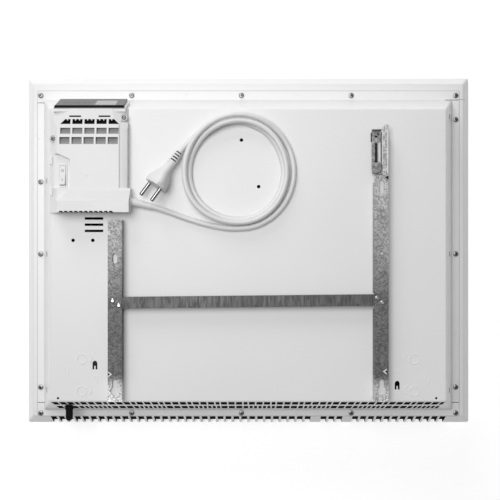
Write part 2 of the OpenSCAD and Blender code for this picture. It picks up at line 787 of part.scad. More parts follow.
module cover_body() {
    dashes = 11;
    difference() {
        union() {
            difference() {
                cover_form(0);
                cover_form(plastic_t);
                block(cassette_x0 - 1, ledge_x1 + 1, cassette_y0 - 1, cassette_y1 + 1,
                    pan_z - 4, pan_z);
            }
            intersection() {
                recess_form(plastic_t, recess_z - plastic_t);
                cover_form(0);
            }
            // Hood over the pan's top wall, which leans away under it
            along_x(hood_x0, hood_x1)
                polygon([
                    [cassette_y1 - 5, pan_z], [cassette_y1 - 5, panel_z + 1.2],
                    [cassette_y1, panel_z], [cassette_y1 + panel_run, panel_z - panel_drop],
                    [cassette_y1 + drop_gap + hood_run, panel_z - panel_drop],
                    [cassette_y1 + drop_gap, pan_z]
                ]);
            for (place = boss_places)
                rod_z(place[0], place[1], pan_z, boss_z + boss_rim, boss_r);
            for (y = [recess_y0 - 9, recess_y0 + 28])
                block(cassette_x0 + 0.6, cassette_x0 + 3.8, y, y + 9, pan_z, pan_z + 5);
        }
        recess_form(0, recess_z);
        vents();
        rod_z(switch_x + 31, switch_y - 2, face_z - 0.4, face_z + cut, 2.4);
        block(switch_x - 4.5, switch_x + 4.5, switch_y - 12.5, switch_y + 12.5,
            recess_z - plastic_t - 1, recess_z + 1);
        for (place = boss_places) {
            rod_z(place[0], place[1], pan_z - 1, face_z, screw_r);
            rod_z(place[0], place[1], boss_z, face_z + cut, boss_head_r + drop_gap);
        }
        rod_x(ledge_x1 - 6, ledge_x1 + 1, gland_y, gland_z, gland_r + 0.1);
        for (i = [0:dashes - 1])
            block(cassette_x0 + 16.5 + i * dash_pitch, cassette_x0 + 16.5 + i * dash_pitch + dash_w,
                cassette_y0 - 1, cassette_y0 + 1.4, pan_z + 5, ledge_z + cut);
        // Groove for the lip along the control panel's lower edge
        block(hood_x0 + 1, hood_x1 - 1, cassette_y1 - 1.3, cassette_y1 + 1.6, panel_z - 3,
            panel_z + 3);
        on_panel()
            for (x = button_x)
                translate([x, button_y, -2.6]) cylinder(r = button_r + 1.2, h = 4);
    }
}

module cassette_screws() {
    color("silver")
        for (place = boss_places)
            pan_head(place[0], place[1], boss_z, boss_z - pan_z, boss_head_r);
}

module control_panel() {
    color("dimgray") {
        on_panel() difference() {
            translate([hood_x0 + 2, 1, 0]) cube([hood_x1 - hood_x0 - 4, panel_l - 2, panel_t]);
            for (x = button_x)
                translate([x, button_y, -cut]) cylinder(r = button_r + 0.2, h = panel_t + 2 * cut);
            translate([window_x, 4, panel_t - 1.2]) cube([window_w, 20, 2]);
        }
        block(hood_x0 + 1.2, hood_x1 - 1.2, cassette_y1 - 1.2, cassette_y1 + 1.4, panel_z - 2.9,
            panel_z + 0.4);
    }
}

module display_window() {
    color("lightgray") on_panel()
        translate([window_x + 0.1, 4.1, panel_t - 1.2])
            cube([window_w - 0.2, 19.8, 1.2]);
}

// Button with a collar that the panel holds in
module button(x) {
    color("dimgray") on_panel() translate([x, button_y, 0]) {
        translate([0, 0, -1]) cylinder(r = button_r, h = panel_t + 1.3);
        translate([0, 0, -1]) cylinder(r = button_r + 0.6, h = 0.9);
    }
}

module button_power() { button(button_x[0]); }
module button_minus() { button(button_x[1]); }
module button_plus() { button(button_x[2]); }

module switch_housing() {
    color("white") difference() {
        union() {
            block(switch_x - 5, switch_x + 5, switch_y - 14, switch_y + 14, recess_z, recess_z + 1.2);
            block(switch_x - 4.4, switch_x + 4.4, switch_y - 12.4, switch_y + 12.4,
                recess_z - 14, recess_z + 1.2);
        }
        block(switch_x - rocker_w / 2 - 0.2, switch_x + rocker_w / 2 + 0.2,
            switch_y - rocker_l / 2 - 0.3, switch_y + rocker_l / 2 + 0.3, rocker_z - 5.5, face_z);
        rod_x(switch_x - 4.2, switch_x + 4.2, switch_y, rocker_z, 0.9 + run_gap);
    }
}

// Rocker with a dished top, resting with its upper half pressed
module switch_rocker() {
    half = rocker_l / 2 - 0.1;
    color("white") translate([switch_x, switch_y, rocker_z]) {
        rotate([-rocker_throw / 2, 0, 0])
            along_x(-rocker_w / 2, rocker_w / 2)
                polygon([
                    [-half, -1], [-3, -2.8], [3, -2.8], [half, -1], [half, 2.3], [0, 1.2], [-half, 2.3]
                ]);
        rod_x(-rocker_w / 2 - 0.6, rocker_w / 2 + 0.6, 0, 0, 0.9);
    }
}

module circuit_board() {
    color("darkgreen")
        block(tub_x0 + 3, tub_x1 - 3, tub_y0 + 3, tub_y1 - 3, board_z, board_z + board_t);
}

module relay() {
    color("steelblue") block(tub_x1 - 24, tub_x1 - 8, tub_y1 - 40, tub_y1 - 12, part_z, part_z + 16);
}

module power_choke() {
    color("goldenrod") {
        block(tub_x1 - 32, tub_x1 - 8, tub_y0 + 10, tub_y0 + 32, part_z, part_z + 4);
        block(tub_x1 - 28, tub_x1 - 12, tub_y0 + 12, tub_y0 + 30, part_z + 4, part_z + 18);
    }
}

module capacitors() {
    color("midnightblue")
        for (y = [tub_y1 - 18, tub_y1 - 34])
            rod_z(tub_x0 + 42, y, part_z, part_z + 20, 6);
}

module terminal_block() {
    color("beige") difference() {
        block(tub_x0 + 6, tub_x0 + 38, tub_y0 + 8, tub_y0 + 20, part_z, part_z + 12);
        for (i = [0:3])
            rod_z(tub_x0 + 10 + i * 8, tub_y0 + 14, part_z + 4, part_z + 13, 2);
    }
}

// Flanged bush in the wall and a flexible relief that points along the cord
module cable_gland() {
    color("white") {
        rod_x(ledge_x1 - plastic_t - 3, ledge_x1 + 0.5, gland_y, gland_z, gland_r);
        rod_x(ledge_x1 - plastic_t - 2.4, ledge_x1 - plastic_t, gland_y, gland_z, gland_r + 1.6);
        rod_x(ledge_x1, ledge_x1 + 1.4, gland_y, gland_z, gland_r + 1.4);
        translate(gland_face) {
            sphere(r = gland_r - 0.2);
            rotate([0, 90 + atan(0.1), relief_turn])
                cylinder(r1 = gland_r - 0.4, r2 = cord_r + 0.5, h = relief_l);
        }
    }
}

module room_sensor() {
    color("black") {
        rod_y(sensor_x, sensor_tip + sensor_r, pan_bottom - 1, sensor_z, sensor_r);
        translate([sensor_x, sensor_tip + sensor_r, sensor_z]) sphere(r = sensor_r);
    }
}

module sensor_grommet() {
    wall_y = foot_bottom + pan_lean * (sensor_z - foot_z) / pan_depth;
    color("black") difference() {
        rod_y(sensor_x, wall_y - 4.4, wall_y - 2.3, sensor_z, grommet_r);
        rod_y(sensor_x, wall_y - 6, wall_y, sensor_z, sensor_r + run_gap);
    }
}

// Channel of a rail, open to the pan, with its lower corners trimmed for the tilt
module rail_channel(x, y0, y1) {
    inner = rail_w / 2 - rail_t;
    difference() {
        block(x - rail_w / 2, x + rail_w / 2, y0, y1, rail_foot_z, rail_z);
        block(x - inner, x + inner, y0 - cut, y1 + cut, rail_foot_z - cut, rail_z - rail_t);
        along_x(x - rail_w, x + rail_w)
            polygon([
                [y0 - 1, rail_foot_z - 1], [pivot_y + 2, rail_foot_z - 1],
                [pivot_y + 1, rail_foot_z], [y0, pivot_z - 1], [y0 - 1, pivot_z - 1]
            ]);
    }
}

// Keyhole, pivot bores, crossbar notch and rivet holes that both rails share
module rail_holes(x, inward) {
    rod_z(x, keyhole_y, rail_z - 3, rail_z + cut, keyhole_r);
    slot_y(x, keyhole_y, keyhole_y + keyhole_slot_l, keyhole_slot_r, rail_z - 3, rail_z + cut);
    rod_x(x - rail_w, x + rail_w, pivot_y, pivot_z, pivot_r + run_gap);
    notch_x = x + inward * rail_w / 2;
    block(notch_x - 2.5, notch_x + 2.5, bar_y - bar_w / 2 - 3, bar_y + bar_w / 2 + 3,
        rail_foot_z - cut, rail_z - rail_t);
    for (place = rivet_places(x, inward))
        rod_z(place[0], place[1], rail_z - 3, rail_z + cut, rivet_r);
}

function rivet_places(x, inward) = [
    [x + (inward > 0 ? -2.4 : -4.8), bar_y - inward * 1.6 + 2.6],
    [x + (inward > 0 ? 4.8 : 1.2), bar_y - inward * 1.6 - 2.8]
];

module left_rail() {
    y1 = left_rail_top;
    color("silver") difference() {
        rail_channel(-rail_x, rail_y0, y1);
        rail_holes(-rail_x, 1);
        slot_y(-rail_x, y1 - 51.5, y1 - 39.5, 2.8, rail_z - 3, rail_z + cut);
        block(-rail_x - rail_w, -rail_x - rail_w / 2 + 3, y1 - 18, y1 - 13,
            rail_foot_z - cut, rail_z + cut);
    }
}

module right_rail() {
    y1 = latch_y;
    outer = rail_x + rail_w / 2;
    color("silver") {
        difference() {
            rail_channel(rail_x, rail_y0, y1);
            rail_holes(rail_x, -1);
            slot_y(rail_x, y1 - 22, y1 - 5, 2.8, rail_z - 3, rail_z + cut);
            rod_z(rail_x, y1 - 91, rail_z - 3, rail_z + cut, 2.2);
            block(outer - 2.2, outer + cut, y1 - 3, y1 - 0.6, rail_z - 4, rail_z + cut);
            // Room for the latch's thumb end in the inner flange
            block(rail_x - rail_w, rail_x - rail_w / 2 + rail_t + drop_gap, y1 - 8, y1 + cut,
                rail_foot_z - cut, rail_z - rail_t);
        }
        block(outer - strip_w, outer, y1 - 1, y1 + strip_l - 7, rail_z - rail_t, rail_z);
        translate([0, 0, rail_z - rail_t])
            linear_extrude(rail_t)
                polygon([
                    [outer - strip_w, y1 + strip_l - 8], [outer, y1 + strip_l - 8],
                    [outer, y1 + strip_l - 1], [outer - 2, y1 + strip_l],
                    [outer - 4, y1 + strip_l], [outer - strip_w, y1 + strip_l - 3]
                ]);
        block(outer - rail_t, outer, y1 - 1, y1 + strip_l - 8, rail_foot_z, rail_z);
    }
}

// Channel between the rails, a little out of square, with flat ends under their backs
module crossbar() {
    z1 = rail_z - rail_t;
    inner = rail_x - rail_w / 2 - bar_play;
    color("silver") difference() {
        translate([0, bar_y, 0]) rotate(bar_tilt) {
            block(-rail_x - 5, rail_x + 5, -bar_w / 2, bar_w / 2, z1 - rail_t, z1);
            for (y = [-bar_w / 2, bar_w / 2 - rail_t])
                block(-inner, inner, y, y + rail_t, z1 - bar_lip, z1);
        }
        for (side = [-1, 1])
            for (place = rivet_places(side * rail_x, -side))
                rod_z(place[0], place[1], z1 - 3, z1 + cut, rivet_r);
    }
}

module bracket_rivets() {
    color("gainsboro")
        for (side = [-1, 1])
            for (place = rivet_places(side * rail_x, -side)) {
                rod_z(place[0], place[1], rail_z - 2 * rail_t, rail_z, rivet_r);
                rod_z(place[0], place[1], rail_z, rail_z + 0.5, rivet_head_r);
                translate([place[0], place[1], rail_z + 0.5])
                    cylinder(r1 = rivet_head_r, r2 = rivet_head_r * 0.5, h = 0.8);
            }
}

// Lugs on the pan, one inside the foot of each rail
module pivot_lugs() {
    t = 1.6;
    w = rail_w / 2 - rail_t - 1;
    color("silver")
        for (x = [-rail_x, rail_x])
            difference() {
                union() {
                    block(x - w, x + w, pivot_y - 4, pivot_y + 10, pan_z, pan_z + t);
                    for (side = [-1, 1]) {
                        ear = x + side * (w - t / 2);
                        block(ear - t / 2, ear + t / 2, pivot_y - 4, pivot_y + 4, pan_z, pivot_z);
                        rod_x(ear - t / 2, ear + t / 2, pivot_y, pivot_z, 4);
                    }
                }
                rod_x(x - w - 1, x + w + 1, pivot_y, pivot_z, pivot_r);
            }
}

module pivot_pins() {
    color("gray")
        for (x = [-rail_x, rail_x])
            rod_x(x - rail_w / 2 - 0.8, x + rail_w / 2 + 0.8, pivot_y, pivot_z, pivot_r);
}

// Plate beside the strip that carries the latch
module latch_carrier() {
    x0 = rail_x - 9.5;
    x1 = rail_x + rail_w / 2 - rail_t;
    color("silver") difference() {
        union() {
            block(x0, x1, latch_y + 2, latch_y + 52, latch_z - 4, latch_z - 4 + rail_t);
            block(x1 - rail_t, x1, latch_y + 2, latch_y + 52, latch_z - 4, rail_z - rail_t);
        }
        for (y = [latch_y + 13, latch_y + 42])
            rod_z(rail_x - 5.6, y, latch_z - 5, latch_z, stud_r);
        block(x0 - 1, x0 + 8, latch_y + 46, latch_y + 53, latch_z - 6, latch_z);
        block(rail_x - 3, rail_x + 1.5, latch_y + 18, latch_y + 39, latch_z - 6, latch_z);
    }
}

// Sliding latch with a round thumb end, a window and a tongue that drops into the pan
module release_latch() {
    x = rail_x - 4;
    z0 = latch_z - 2;
    y0 = latch_y + 8.6;
    y1 = latch_y + 54.5;
    color("lightgray") difference() {
        union() {
            rod_z(x - 1, y0, z0, z0 + rail_t, 5.6);
            block(x - 6.6, x + 4.6, y0, y1, z0, z0 + rail_t);
            block(x - 6.6, x + 4.6, y1 - rail_t, y1, z0, z0 + 6);
            block(x - 5, x - 1, y1 - rail_t, y1, pan_z - 6, z0);
        }
        block(x + 0.8, x + 3.8, latch_y + 16.5, latch_y + 40, z0 - cut, z0 + rail_t + cut);
        block(x - 2.8, x, latch_y + 17, latch_y + 38.5, z0 - cut, z0 + rail_t + cut);
        rod_z(x + 1.4, latch_y + 49, z0 - cut, z0 + rail_t + cut, 1.6);
        for (y = [latch_y + 13, latch_y + 42])
            slot_y(rail_x - 5.6, y - stud_r - run_gap, y + stud_r + run_gap + latch_travel,
                stud_r + run_gap, z0 - cut, z0 + rail_t + cut);
    }
}

module latch_studs() {
    color("gainsboro")
        for (y = [latch_y + 13, latch_y + 42]) {
            rod_z(rail_x - 5.6, y, latch_z - 4, latch_z - 0.6, stud_r);
            rod_z(rail_x - 5.6, y, latch_z - 0.7, latch_z + 0.3, 2.4);
        }
}

// Leaf under the latch that pushes it back up
module latch_spring() {
    z0 = latch_z - 4 + rail_t;
    color("gray") block(rail_x - 8, rail_x - 4.4, latch_y + 18, latch_y + 39, z0, z0 + 0.4);
}

module supply_cord() {
    color("white") swept_tube(cord_route, relief_way, [1, 0, 0], cord_r, 8);
}

module cord_coil() {
    color("white") swept_tube(coil_route, [1, 0, 0], coil_out, cord_r, 6);
}

module plug_lead() {
    points = concat([coil_end + cord_d * coil_out], lead_route, [plug_start]);
    color("white") swept_tube(points, coil_out, plug_way, cord_r, 8);
}

// Local frame of the plug: z along its pins, x across them
module on_plug() {
    translate(plug_start) rotate([0, 90 - plug_rise, plug_turn]) rotate(plug_roll) children();
}

// Slice of the plug's body, w wide and h thick
module plug_slice(z, w, h) {
    r = h / 2 - 0.5;
    translate([0, 0, z])
        linear_extrude(0.5)
            for (side = [-1, 1])
                translate([side * (w / 2 - r), 0]) circle(r = r, $fn = 24);
}

module plug_body() {
    color("white") on_plug() {
        difference() {
            cylinder(r1 = cord_r + 1, r2 = 5.6, h = 20);
            rotate(-plug_roll)
                for (i = [0:3])
                    for (side = [-1, 1])
                        translate([side * 4.9 - 2, -3.4, 1.6 + i * 3.7]) cube([4, 6.8, 1.6]);
        }
        hull() {
            plug_slice(19, 11, 10.5);
            plug_slice(25, 13, 11.5);
        }
        hull() {
            plug_slice(25, 13, 11.5);
            plug_slice(35, 20, 17.5);
        }
        hull() {
            plug_slice(35, 20, 17.5);
            plug_slice(plug_l - slab_t, 24, 20.5);
        }
        translate([0, 0, plug_l - slab_t])
            linear_extrude(slab_t)
                for (side = [0, 180])
                    rotate(side)
                        polygon(concat(
                            [for (p = slab_outline) p],
                            [for (i = [2:-1:0]) [-slab_outline[i][0], slab_outline[i][1]]],
                            [[-slab_outline[0][0], -1], [slab_outline[0][0], -1]]
                        ));
    }
}

module plug_pins() {
    color("silver") on_plug()
        for (side = [-1, 1])
            translate([side * pin_spread / 2, 0, plug_l]) {
                cylinder(r = plug_pin_d / 2, h = plug_pin_l - 1);
                translate([0, 0, plug_pin_l - 1])
                    cylinder(r1 = plug_pin_d / 2, r2 = plug_pin_d / 2 - 0.8, h = 1);
            }
}

front_shell();
outlet_grille();
rear_pan();
perimeter_screws();
element_rod();
element_fins();
element_bushes();
element_brackets();
baffle();
thermal_cutout();
element_wire();
cutout_wire();
cassette_tub();
cassette_cover();
cassette_screws();
control_panel();
display_window();
button_power();
button_minus();
button_plus();
switch_housing();
switch_rocker();
circuit_board();
relay();
power_choke();
capacitors();
terminal_block();
cable_gland();
room_sensor();
sensor_grommet();
left_rail();
right_rail();
crossbar();
bracket_rivets();
pivot_lugs();
pivot_pins();
latch_carrier();
release_latch();
latch_studs();
latch_spring();
supply_cord();
cord_coil();
plug_lead();
plug_body();
plug_pins();
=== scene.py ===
"""Dresses the solid model of a panel convector heater: rounded sheet metal, moulded plastic,
the coiled mains lead with its plug, and a plain pale studio."""

import math

import bmesh
import bpy
from bpy.props import FloatProperty, FloatVectorProperty, IntProperty, PointerProperty
from mathutils import Matrix, Vector


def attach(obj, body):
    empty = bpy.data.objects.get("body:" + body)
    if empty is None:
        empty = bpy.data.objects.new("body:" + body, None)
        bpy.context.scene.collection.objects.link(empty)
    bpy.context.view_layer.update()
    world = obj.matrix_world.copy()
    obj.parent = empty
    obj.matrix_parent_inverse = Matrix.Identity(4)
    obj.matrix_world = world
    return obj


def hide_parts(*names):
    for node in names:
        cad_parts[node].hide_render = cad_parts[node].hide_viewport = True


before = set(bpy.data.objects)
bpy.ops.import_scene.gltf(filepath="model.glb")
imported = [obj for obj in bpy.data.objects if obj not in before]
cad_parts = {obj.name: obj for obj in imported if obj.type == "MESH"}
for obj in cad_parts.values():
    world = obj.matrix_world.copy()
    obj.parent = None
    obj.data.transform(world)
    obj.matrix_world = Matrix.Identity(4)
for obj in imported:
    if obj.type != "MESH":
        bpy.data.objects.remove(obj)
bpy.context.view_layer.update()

bl_info = {
    "name": "Panel heater",
    "version": (1, 0, 0),
    "blender": (4, 5, 0),
    "location": "3D View > Sidebar > Heater",
    "description": "Builds the visible pieces and the finishes of a panel convector heater",
    "category": "Object",
}

MM = 0.001


# Sizes and colours that a user may change

def length(name, description, value, low, high):
    """A length in metres."""
    return FloatProperty(name=name, description=description, default=value, min=low, max=high,
                         subtype="DISTANCE", unit="LENGTH", precision=4)


def colour(name, description, value):
    """A colour in linear light."""
    return FloatVectorProperty(name=name, description=description, default=value, size=3,
                               min=0.0, max=1.0, subtype="COLOR")


class HeaterFinish(bpy.types.PropertyGroup):
    """Colours and gloss of the heater's surfaces"""

    sheet: colour("Painted sheet", "Powder coat of the shell and the pan", (0.84, 0.84, 0.84))
    plastic: colour("White plastic", "Cassette, switch and plug", (0.76, 0.76, 0.76))
    jacket: colour("Cord jacket", "Smooth white jacket of the mains lead", (0.78, 0.78, 0.78))
    galvanised: colour("Galvanised steel", "Zinc of the wall bracket", (0.55, 0.55, 0.55))
    panel: colour("Control panel", "Grey strip with the display", (0.14, 0.14, 0.142))
    black: colour("Black plastic", "Sensor and its grommet", (0.006, 0.006, 0.006))
    sheet_gloss: FloatProperty(name="Powder coat roughness", description="Roughness of the paint",
                               default=0.42, min=0.1, max=0.9, subtype="FACTOR")


class HeaterSheet(bpy.types.PropertyGroup):
    """Sizes of the pressed steel"""

    bend: length("Bend radius", "Radius of the pan's outer bends", 2.4 * MM, 0.5 * MM, 6 * MM)
    corner: length("Corner radius", "Radius of the pan's corners", 2.2 * MM, 0.5 * MM, 6 * MM)
    edge: length("Edge radius", "Rounding of moulded and cut edges", 0.35 * MM, 0.05 * MM, 1 * MM)


class HeaterLead(bpy.types.PropertyGroup):
    """The mains lead"""

    diameter: length("Cord diameter", "Outer diameter of the cord", 6.4 * MM, 5 * MM, 8 * MM)
    rings: IntProperty(name="Points a turn", description="Points in each turn of the coil",
                       default=24, min=12, max=48)


class HeaterStudio(bpy.types.PropertyGroup):
    """Camera, lights and floor"""

    height: length("Camera height", "Height of the camera over the floor", 1.008, 0.5, 3.0)
    offset: length("Camera offset", "How far the camera stands to the heater's right", 0.0022,
                   -0.1, 0.1)
    focal: FloatProperty(name="Focal length", description="In pixels of a 500 pixel picture",
                         default=785.0, min=300.0, max=2000.0)
    key: FloatProperty(name="Key light", description="Power of the large soft light", default=10.0,
                       min=0.0, max=200.0, unit="POWER")
    fill: FloatProperty(name="Overhead light", description="Power of the overhead light",
                        default=23.0, min=0.0, max=200.0, unit="POWER")
    sky: FloatProperty(name="Room light", description="Strength of the even light", default=0.18,
                       min=0.0, max=3.0)


class HeaterSettings(bpy.types.PropertyGroup):
    """All the heater's settings"""

    finish: PointerProperty(type=HeaterFinish)
    sheet: PointerProperty(type=HeaterSheet)
    lead: PointerProperty(type=HeaterLead)
    studio: PointerProperty(type=HeaterStudio)


def settings():
    """The settings that the user has chosen."""
    return bpy.context.scene.heater


# Sizes of the solid model that the new pieces repeat, in metres. Outlines are (x0, x1, y0, y1)

BODY = (-281.5 * MM, 281.5 * MM, -220 * MM, 220 * MM)
SHELL_TOP, SHELL_LEAN = 22 * MM, 11.5 * MM
FOOT_Z, PAN_Z, PAN_LEAN = 23 * MM, 73 * MM, 19 * MM
FLANGE = (-264.5 * MM, 264.5 * MM, -208 * MM, 199.5 * MM)
FOOT = (-255.5 * MM, 255.5 * MM, -200 * MM, 187.5 * MM)
PAN_TOP = (-236.5 * MM, 236.5 * MM, -181 * MM, 168.5 * MM)
LIP_OPENING = (-256.5 * MM, 256.5 * MM, -201 * MM, 188.5 * MM)
CASSETTE_X0, CASSETTE_Y0, CASSETTE_Y1 = -236.1 * MM, 44 * MM, 168.5 * MM
RAIL_X, RAIL_TOP = 156.4 * MM, 88 * MM


# Finishes, with names that differ from those of the loaded solids

LOOK = "_look"
NOISE_LOW, NOISE_HIGH = 0.3, 0.7
CRYSTAL_SCALE = 640.0
CRYSTAL_DARK, CRYSTAL_LIGHT = 0.4, 1.12

# Places of the colour sockets on a Mix node
MIX_A, MIX_B, MIX_RESULT = 6, 7, 2


def add_node(tree, kind, values=()):
    """New shader node, with the given values on its sockets."""
    made = tree.nodes.new("ShaderNode" + kind)
    for name, value in dict(values).items():
        made.inputs[name].default_value = value
    return made


def node_of(made, kind):
    """The first node of a type in a material."""
    return next(n for n in made.node_tree.nodes if n.type == kind)


def material(name, base, shade=0.05, patch=7.0, rough=0.45, rough_spread=0.1, grain=1200.0,
             depth=0.03 * MM, metal=0.0, stretch=(1.0, 1.0, 1.0), coat=0.0):
    """Node material: base colour in soft patches, roughness that drifts, and a fine grain."""
    label = name + LOOK
    made = bpy.data.materials.get(label)
    if made:
        return made
    made = bpy.data.materials.new(label)
    made.use_nodes = True
    tree = made.node_tree
    tree.nodes.clear()
    link = tree.links.new
    shader = add_node(tree, "BsdfPrincipled", {"Metallic": metal, "Coat Weight": coat})
    output = add_node(tree, "OutputMaterial")
    link(shader.outputs["BSDF"], output.inputs["Surface"])
    place = add_node(tree, "TexCoord")
    spread = add_node(tree, "Mapping", {"Scale": stretch})
    link(place.outputs["Object"], spread.inputs["Vector"])

    broad = add_node(tree, "TexNoise", {"Scale": patch, "Detail": 4.0})
    link(spread.outputs["Vector"], broad.inputs["Vector"])
    ramp = add_node(tree, "ValToRGB")
    dark, light = ramp.color_ramp.elements
    dark.position, light.position = NOISE_LOW, NOISE_HIGH
    dark.color = (*[c * (1 - shade) for c in base], 1)
    light.color = (*base, 1)
    link(broad.outputs["Fac"], ramp.inputs["Fac"])
    link(ramp.outputs["Color"], shader.inputs["Base Color"])

    drift = add_node(tree, "MapRange", {
        "From Min": NOISE_LOW, "From Max": NOISE_HIGH,
        "To Min": rough - rough_spread / 2, "To Max": rough + rough_spread / 2,
    })
    link(broad.outputs["Fac"], drift.inputs["Value"])
    link(drift.outputs["Result"], shader.inputs["Roughness"])

    fine = add_node(tree, "TexNoise", {"Scale": grain, "Detail": 3.0})
    link(spread.outputs["Vector"], fine.inputs["Vector"])
    bump = add_node(tree, "Bump", {"Strength": 0.6, "Distance": depth})
    link(fine.outputs["Fac"], bump.inputs["Height"])
    link(bump.outputs["Normal"], shader.inputs["Normal"])
    return made


def multiplied(tree, first, second):
    """Product of two colour sockets, as a socket."""
    mix = add_node(tree, "Mix", {"Factor": 1.0})
    mix.data_type = "RGBA"
    mix.blend_type = "MULTIPLY"
    tree.links.new(first, mix.inputs[MIX_A])
    tree.links.new(second, mix.inputs[MIX_B])
    return mix.outputs[MIX_RESULT]


def painted_light_along_y(tree, vector, painted_light_bands):
    """Painted reflection and shade: grey that changes along y, from (place in metres, strength)
    pairs in rising order.
    """
    low, high = painted_light_bands[0][0], painted_light_bands[-1][0]
    axes = add_node(tree, "SeparateXYZ")
    tree.links.new(vector, axes.inputs["Vector"])
    along = add_node(tree, "MapRange", {"From Min": low, "From Max": high})
    tree.links.new(axes.outputs["Y"], along.inputs["Value"])
    tone = add_node(tree, "ValToRGB")
    stops = tone.color_ramp.elements
    for place, strength in painted_light_bands[1:-1]:
        stops.new((place - low) / (high - low)).color = (strength, strength, strength, 1)
    for stop, (place, strength) in ((stops[0], painted_light_bands[0]), (stops[-1], painted_light_bands[-1])):
        stop.color = (strength, strength, strength, 1)
    tree.links.new(along.outputs["Result"], tone.inputs["Fac"])
    return tone.outputs["Color"]


def zinc(name, base, stretch=(1.0, 1.0, 1.0), painted_light_bands=()):
    """Galvanised sheet: small crystals of very different greys, dull patches, and painted
    reflection and shade, lighter or darker along y."""
    made = bpy.data.materials.get(name + LOOK)
    if made:
        return made
    made = material(name, base, shade=0.5, patch=18.0, rough=0.55, rough_spread=0.2, grain=700.0,
                    depth=0.02 * MM, metal=0.25, stretch=stretch)
    tree = made.node_tree
    vector = node_of(made, "MAPPING").outputs["Vector"]
    crystals = add_node(tree, "TexVoronoi", {"Scale": CRYSTAL_SCALE})
    tree.links.new(vector, crystals.inputs["Vector"])
    grey = add_node(tree, "SeparateColor")
    tree.links.new(crystals.outputs["Color"], grey.inputs["Color"])
    light = add_node(tree, "MapRange", {"To Min": CRYSTAL_DARK, "To Max": CRYSTAL_LIGHT})
    tree.links.new(grey.outputs["Red"], light.inputs["Value"])
    seen = multiplied(tree, node_of(made, "VALTORGB").outputs["Color"], light.outputs["Result"])
    # Painted reflection and shade along y, when it is given
    if painted_light_bands:
        seen = multiplied(tree, seen, painted_light_along_y(tree, vector, painted_light_bands))
    tree.links.new(seen, node_of(made, "BSDF_PRINCIPLED").inputs["Base Color"])
    return made


def powder_coat():
    look = settings().finish
    return material("powder_coat", look.sheet, shade=0.035, patch=6.0, rough=look.sheet_gloss,
                    grain=1500.0, depth=0.025 * MM)


def white_plastic():
    return material("white_plastic", settings().finish.plastic, shade=0.03, patch=30.0,
                    rough=0.4, grain=2600.0, depth=0.02 * MM)


def jacket():
    return material("cord_jacket", settings().finish.jacket, shade=0.05, patch=60.0, rough=0.36,
                    grain=900.0, depth=0.03 * MM)


def galvanised():
    # Painted reflection and shade along y: much lighter at the low end, darker below the middle,
    # lighter again towards the top
    return zinc("galvanised", settings().finish.galvanised,
                painted_light_bands=((-0.178, 2.4), (-0.161, 1.7), (-0.147, 0.38), (-0.06, 0.46), (0.0, 1.1),
                       (0.1, 1.7), (0.147, 1.9)))


def bright_zinc():
    return material("bright_zinc", (0.62, 0.62, 0.61), shade=0.2, patch=300.0, rough=0.3,
                    grain=2500.0, depth=0.01 * MM, metal=1.0)


def screw_zinc():
    return material("screw_zinc", (0.36, 0.36, 0.36), shade=0.3, patch=300.0, rough=0.35,
                    grain=2500.0, depth=0.01 * MM, metal=0.9)


def polished_nickel():
    return material("polished_nickel", (0.4, 0.4, 0.39), shade=0.08, patch=120.0, rough=0.1,
                    grain=3000.0, depth=0.003 * MM, metal=1.0)


def black_plastic():
    made = material("black_plastic", settings().finish.black, shade=0.3, patch=80.0, rough=0.75,
                    grain=2200.0, depth=0.02 * MM)
    node_of(made, "BSDF_PRINCIPLED").inputs["Specular IOR Level"].default_value = 0.15
    return made


# Painted shade: near black for insides, cut faces and dark marks where shade falls
def painted_shade():
    return material("painted_shade", (0.006, 0.006, 0.006), shade=0.2, patch=20.0, rough=0.75,
                    grain=900.0)


def panel_plastic():
    return material("panel_plastic", settings().finish.panel, shade=0.08, patch=40.0, rough=0.55,
                    grain=2000.0, depth=0.006 * MM)


# Mesh helpers

def new_object(name, data):
    """New object in the scene."""
    made = bpy.data.objects.new(name, data)
    bpy.context.scene.collection.objects.link(made)
    return made


def tidy_normals(made):
    """Turns every face of a mesh outwards."""
    net = bmesh.new()
    net.from_mesh(made.data)
    bmesh.ops.recalc_face_normals(net, faces=net.faces)
    net.to_mesh(made.data)
    net.free()


def shade(made, angle):
    """Smooth shading, but sharp edges above an angle in degrees."""
    made.data.shade_smooth()
    made.data.set_sharp_from_angle(angle=math.radians(angle))


def keep_flat(made):
    """Lets the large flat faces keep their own normals beside rounded bends."""
    flat = made.modifiers.new("flat", "WEIGHTED_NORMAL")
    flat.keep_sharp = True
    flat.weight = 100


def loose(name, points, faces):
    """New mesh object on no body, such as a cutter."""
    mesh = bpy.data.meshes.new(name)
    mesh.from_pydata([tuple(p) for p in points], [], faces)
    made = new_object(name, mesh)
    tidy_normals(made)
    return made


def piece(name, points, faces, finish, body, slot, smooth=35.0):
    """New mesh object that rides on a body, smooth except at edges sharper than an angle."""
    made = loose(name, points, faces)
    made.data.validate()
    shade(made, smooth)
    made.data.materials.append(finish)
    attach(made, body)
    return made


def carve(made, cutter, operation="DIFFERENCE", slot=0):
    """Cuts one mesh out of a piece, or joins it on, and removes the cutter."""
    for finish in made.data.materials:
        cutter.data.materials.append(finish)
    for side in cutter.data.polygons:
        side.material_index = slot
    step = made.modifiers.new("carve", "BOOLEAN")
    step.object = cutter
    step.operation = operation
    step.solver = "EXACT"
    seen = made.evaluated_get(bpy.context.evaluated_depsgraph_get())
    cut = bpy.data.meshes.new_from_object(seen)
    made.modifiers.clear()
    old = made.data
    made.data = cut
    bpy.data.meshes.remove(old)
    bpy.data.objects.remove(cutter)
    made.data.name = made.name


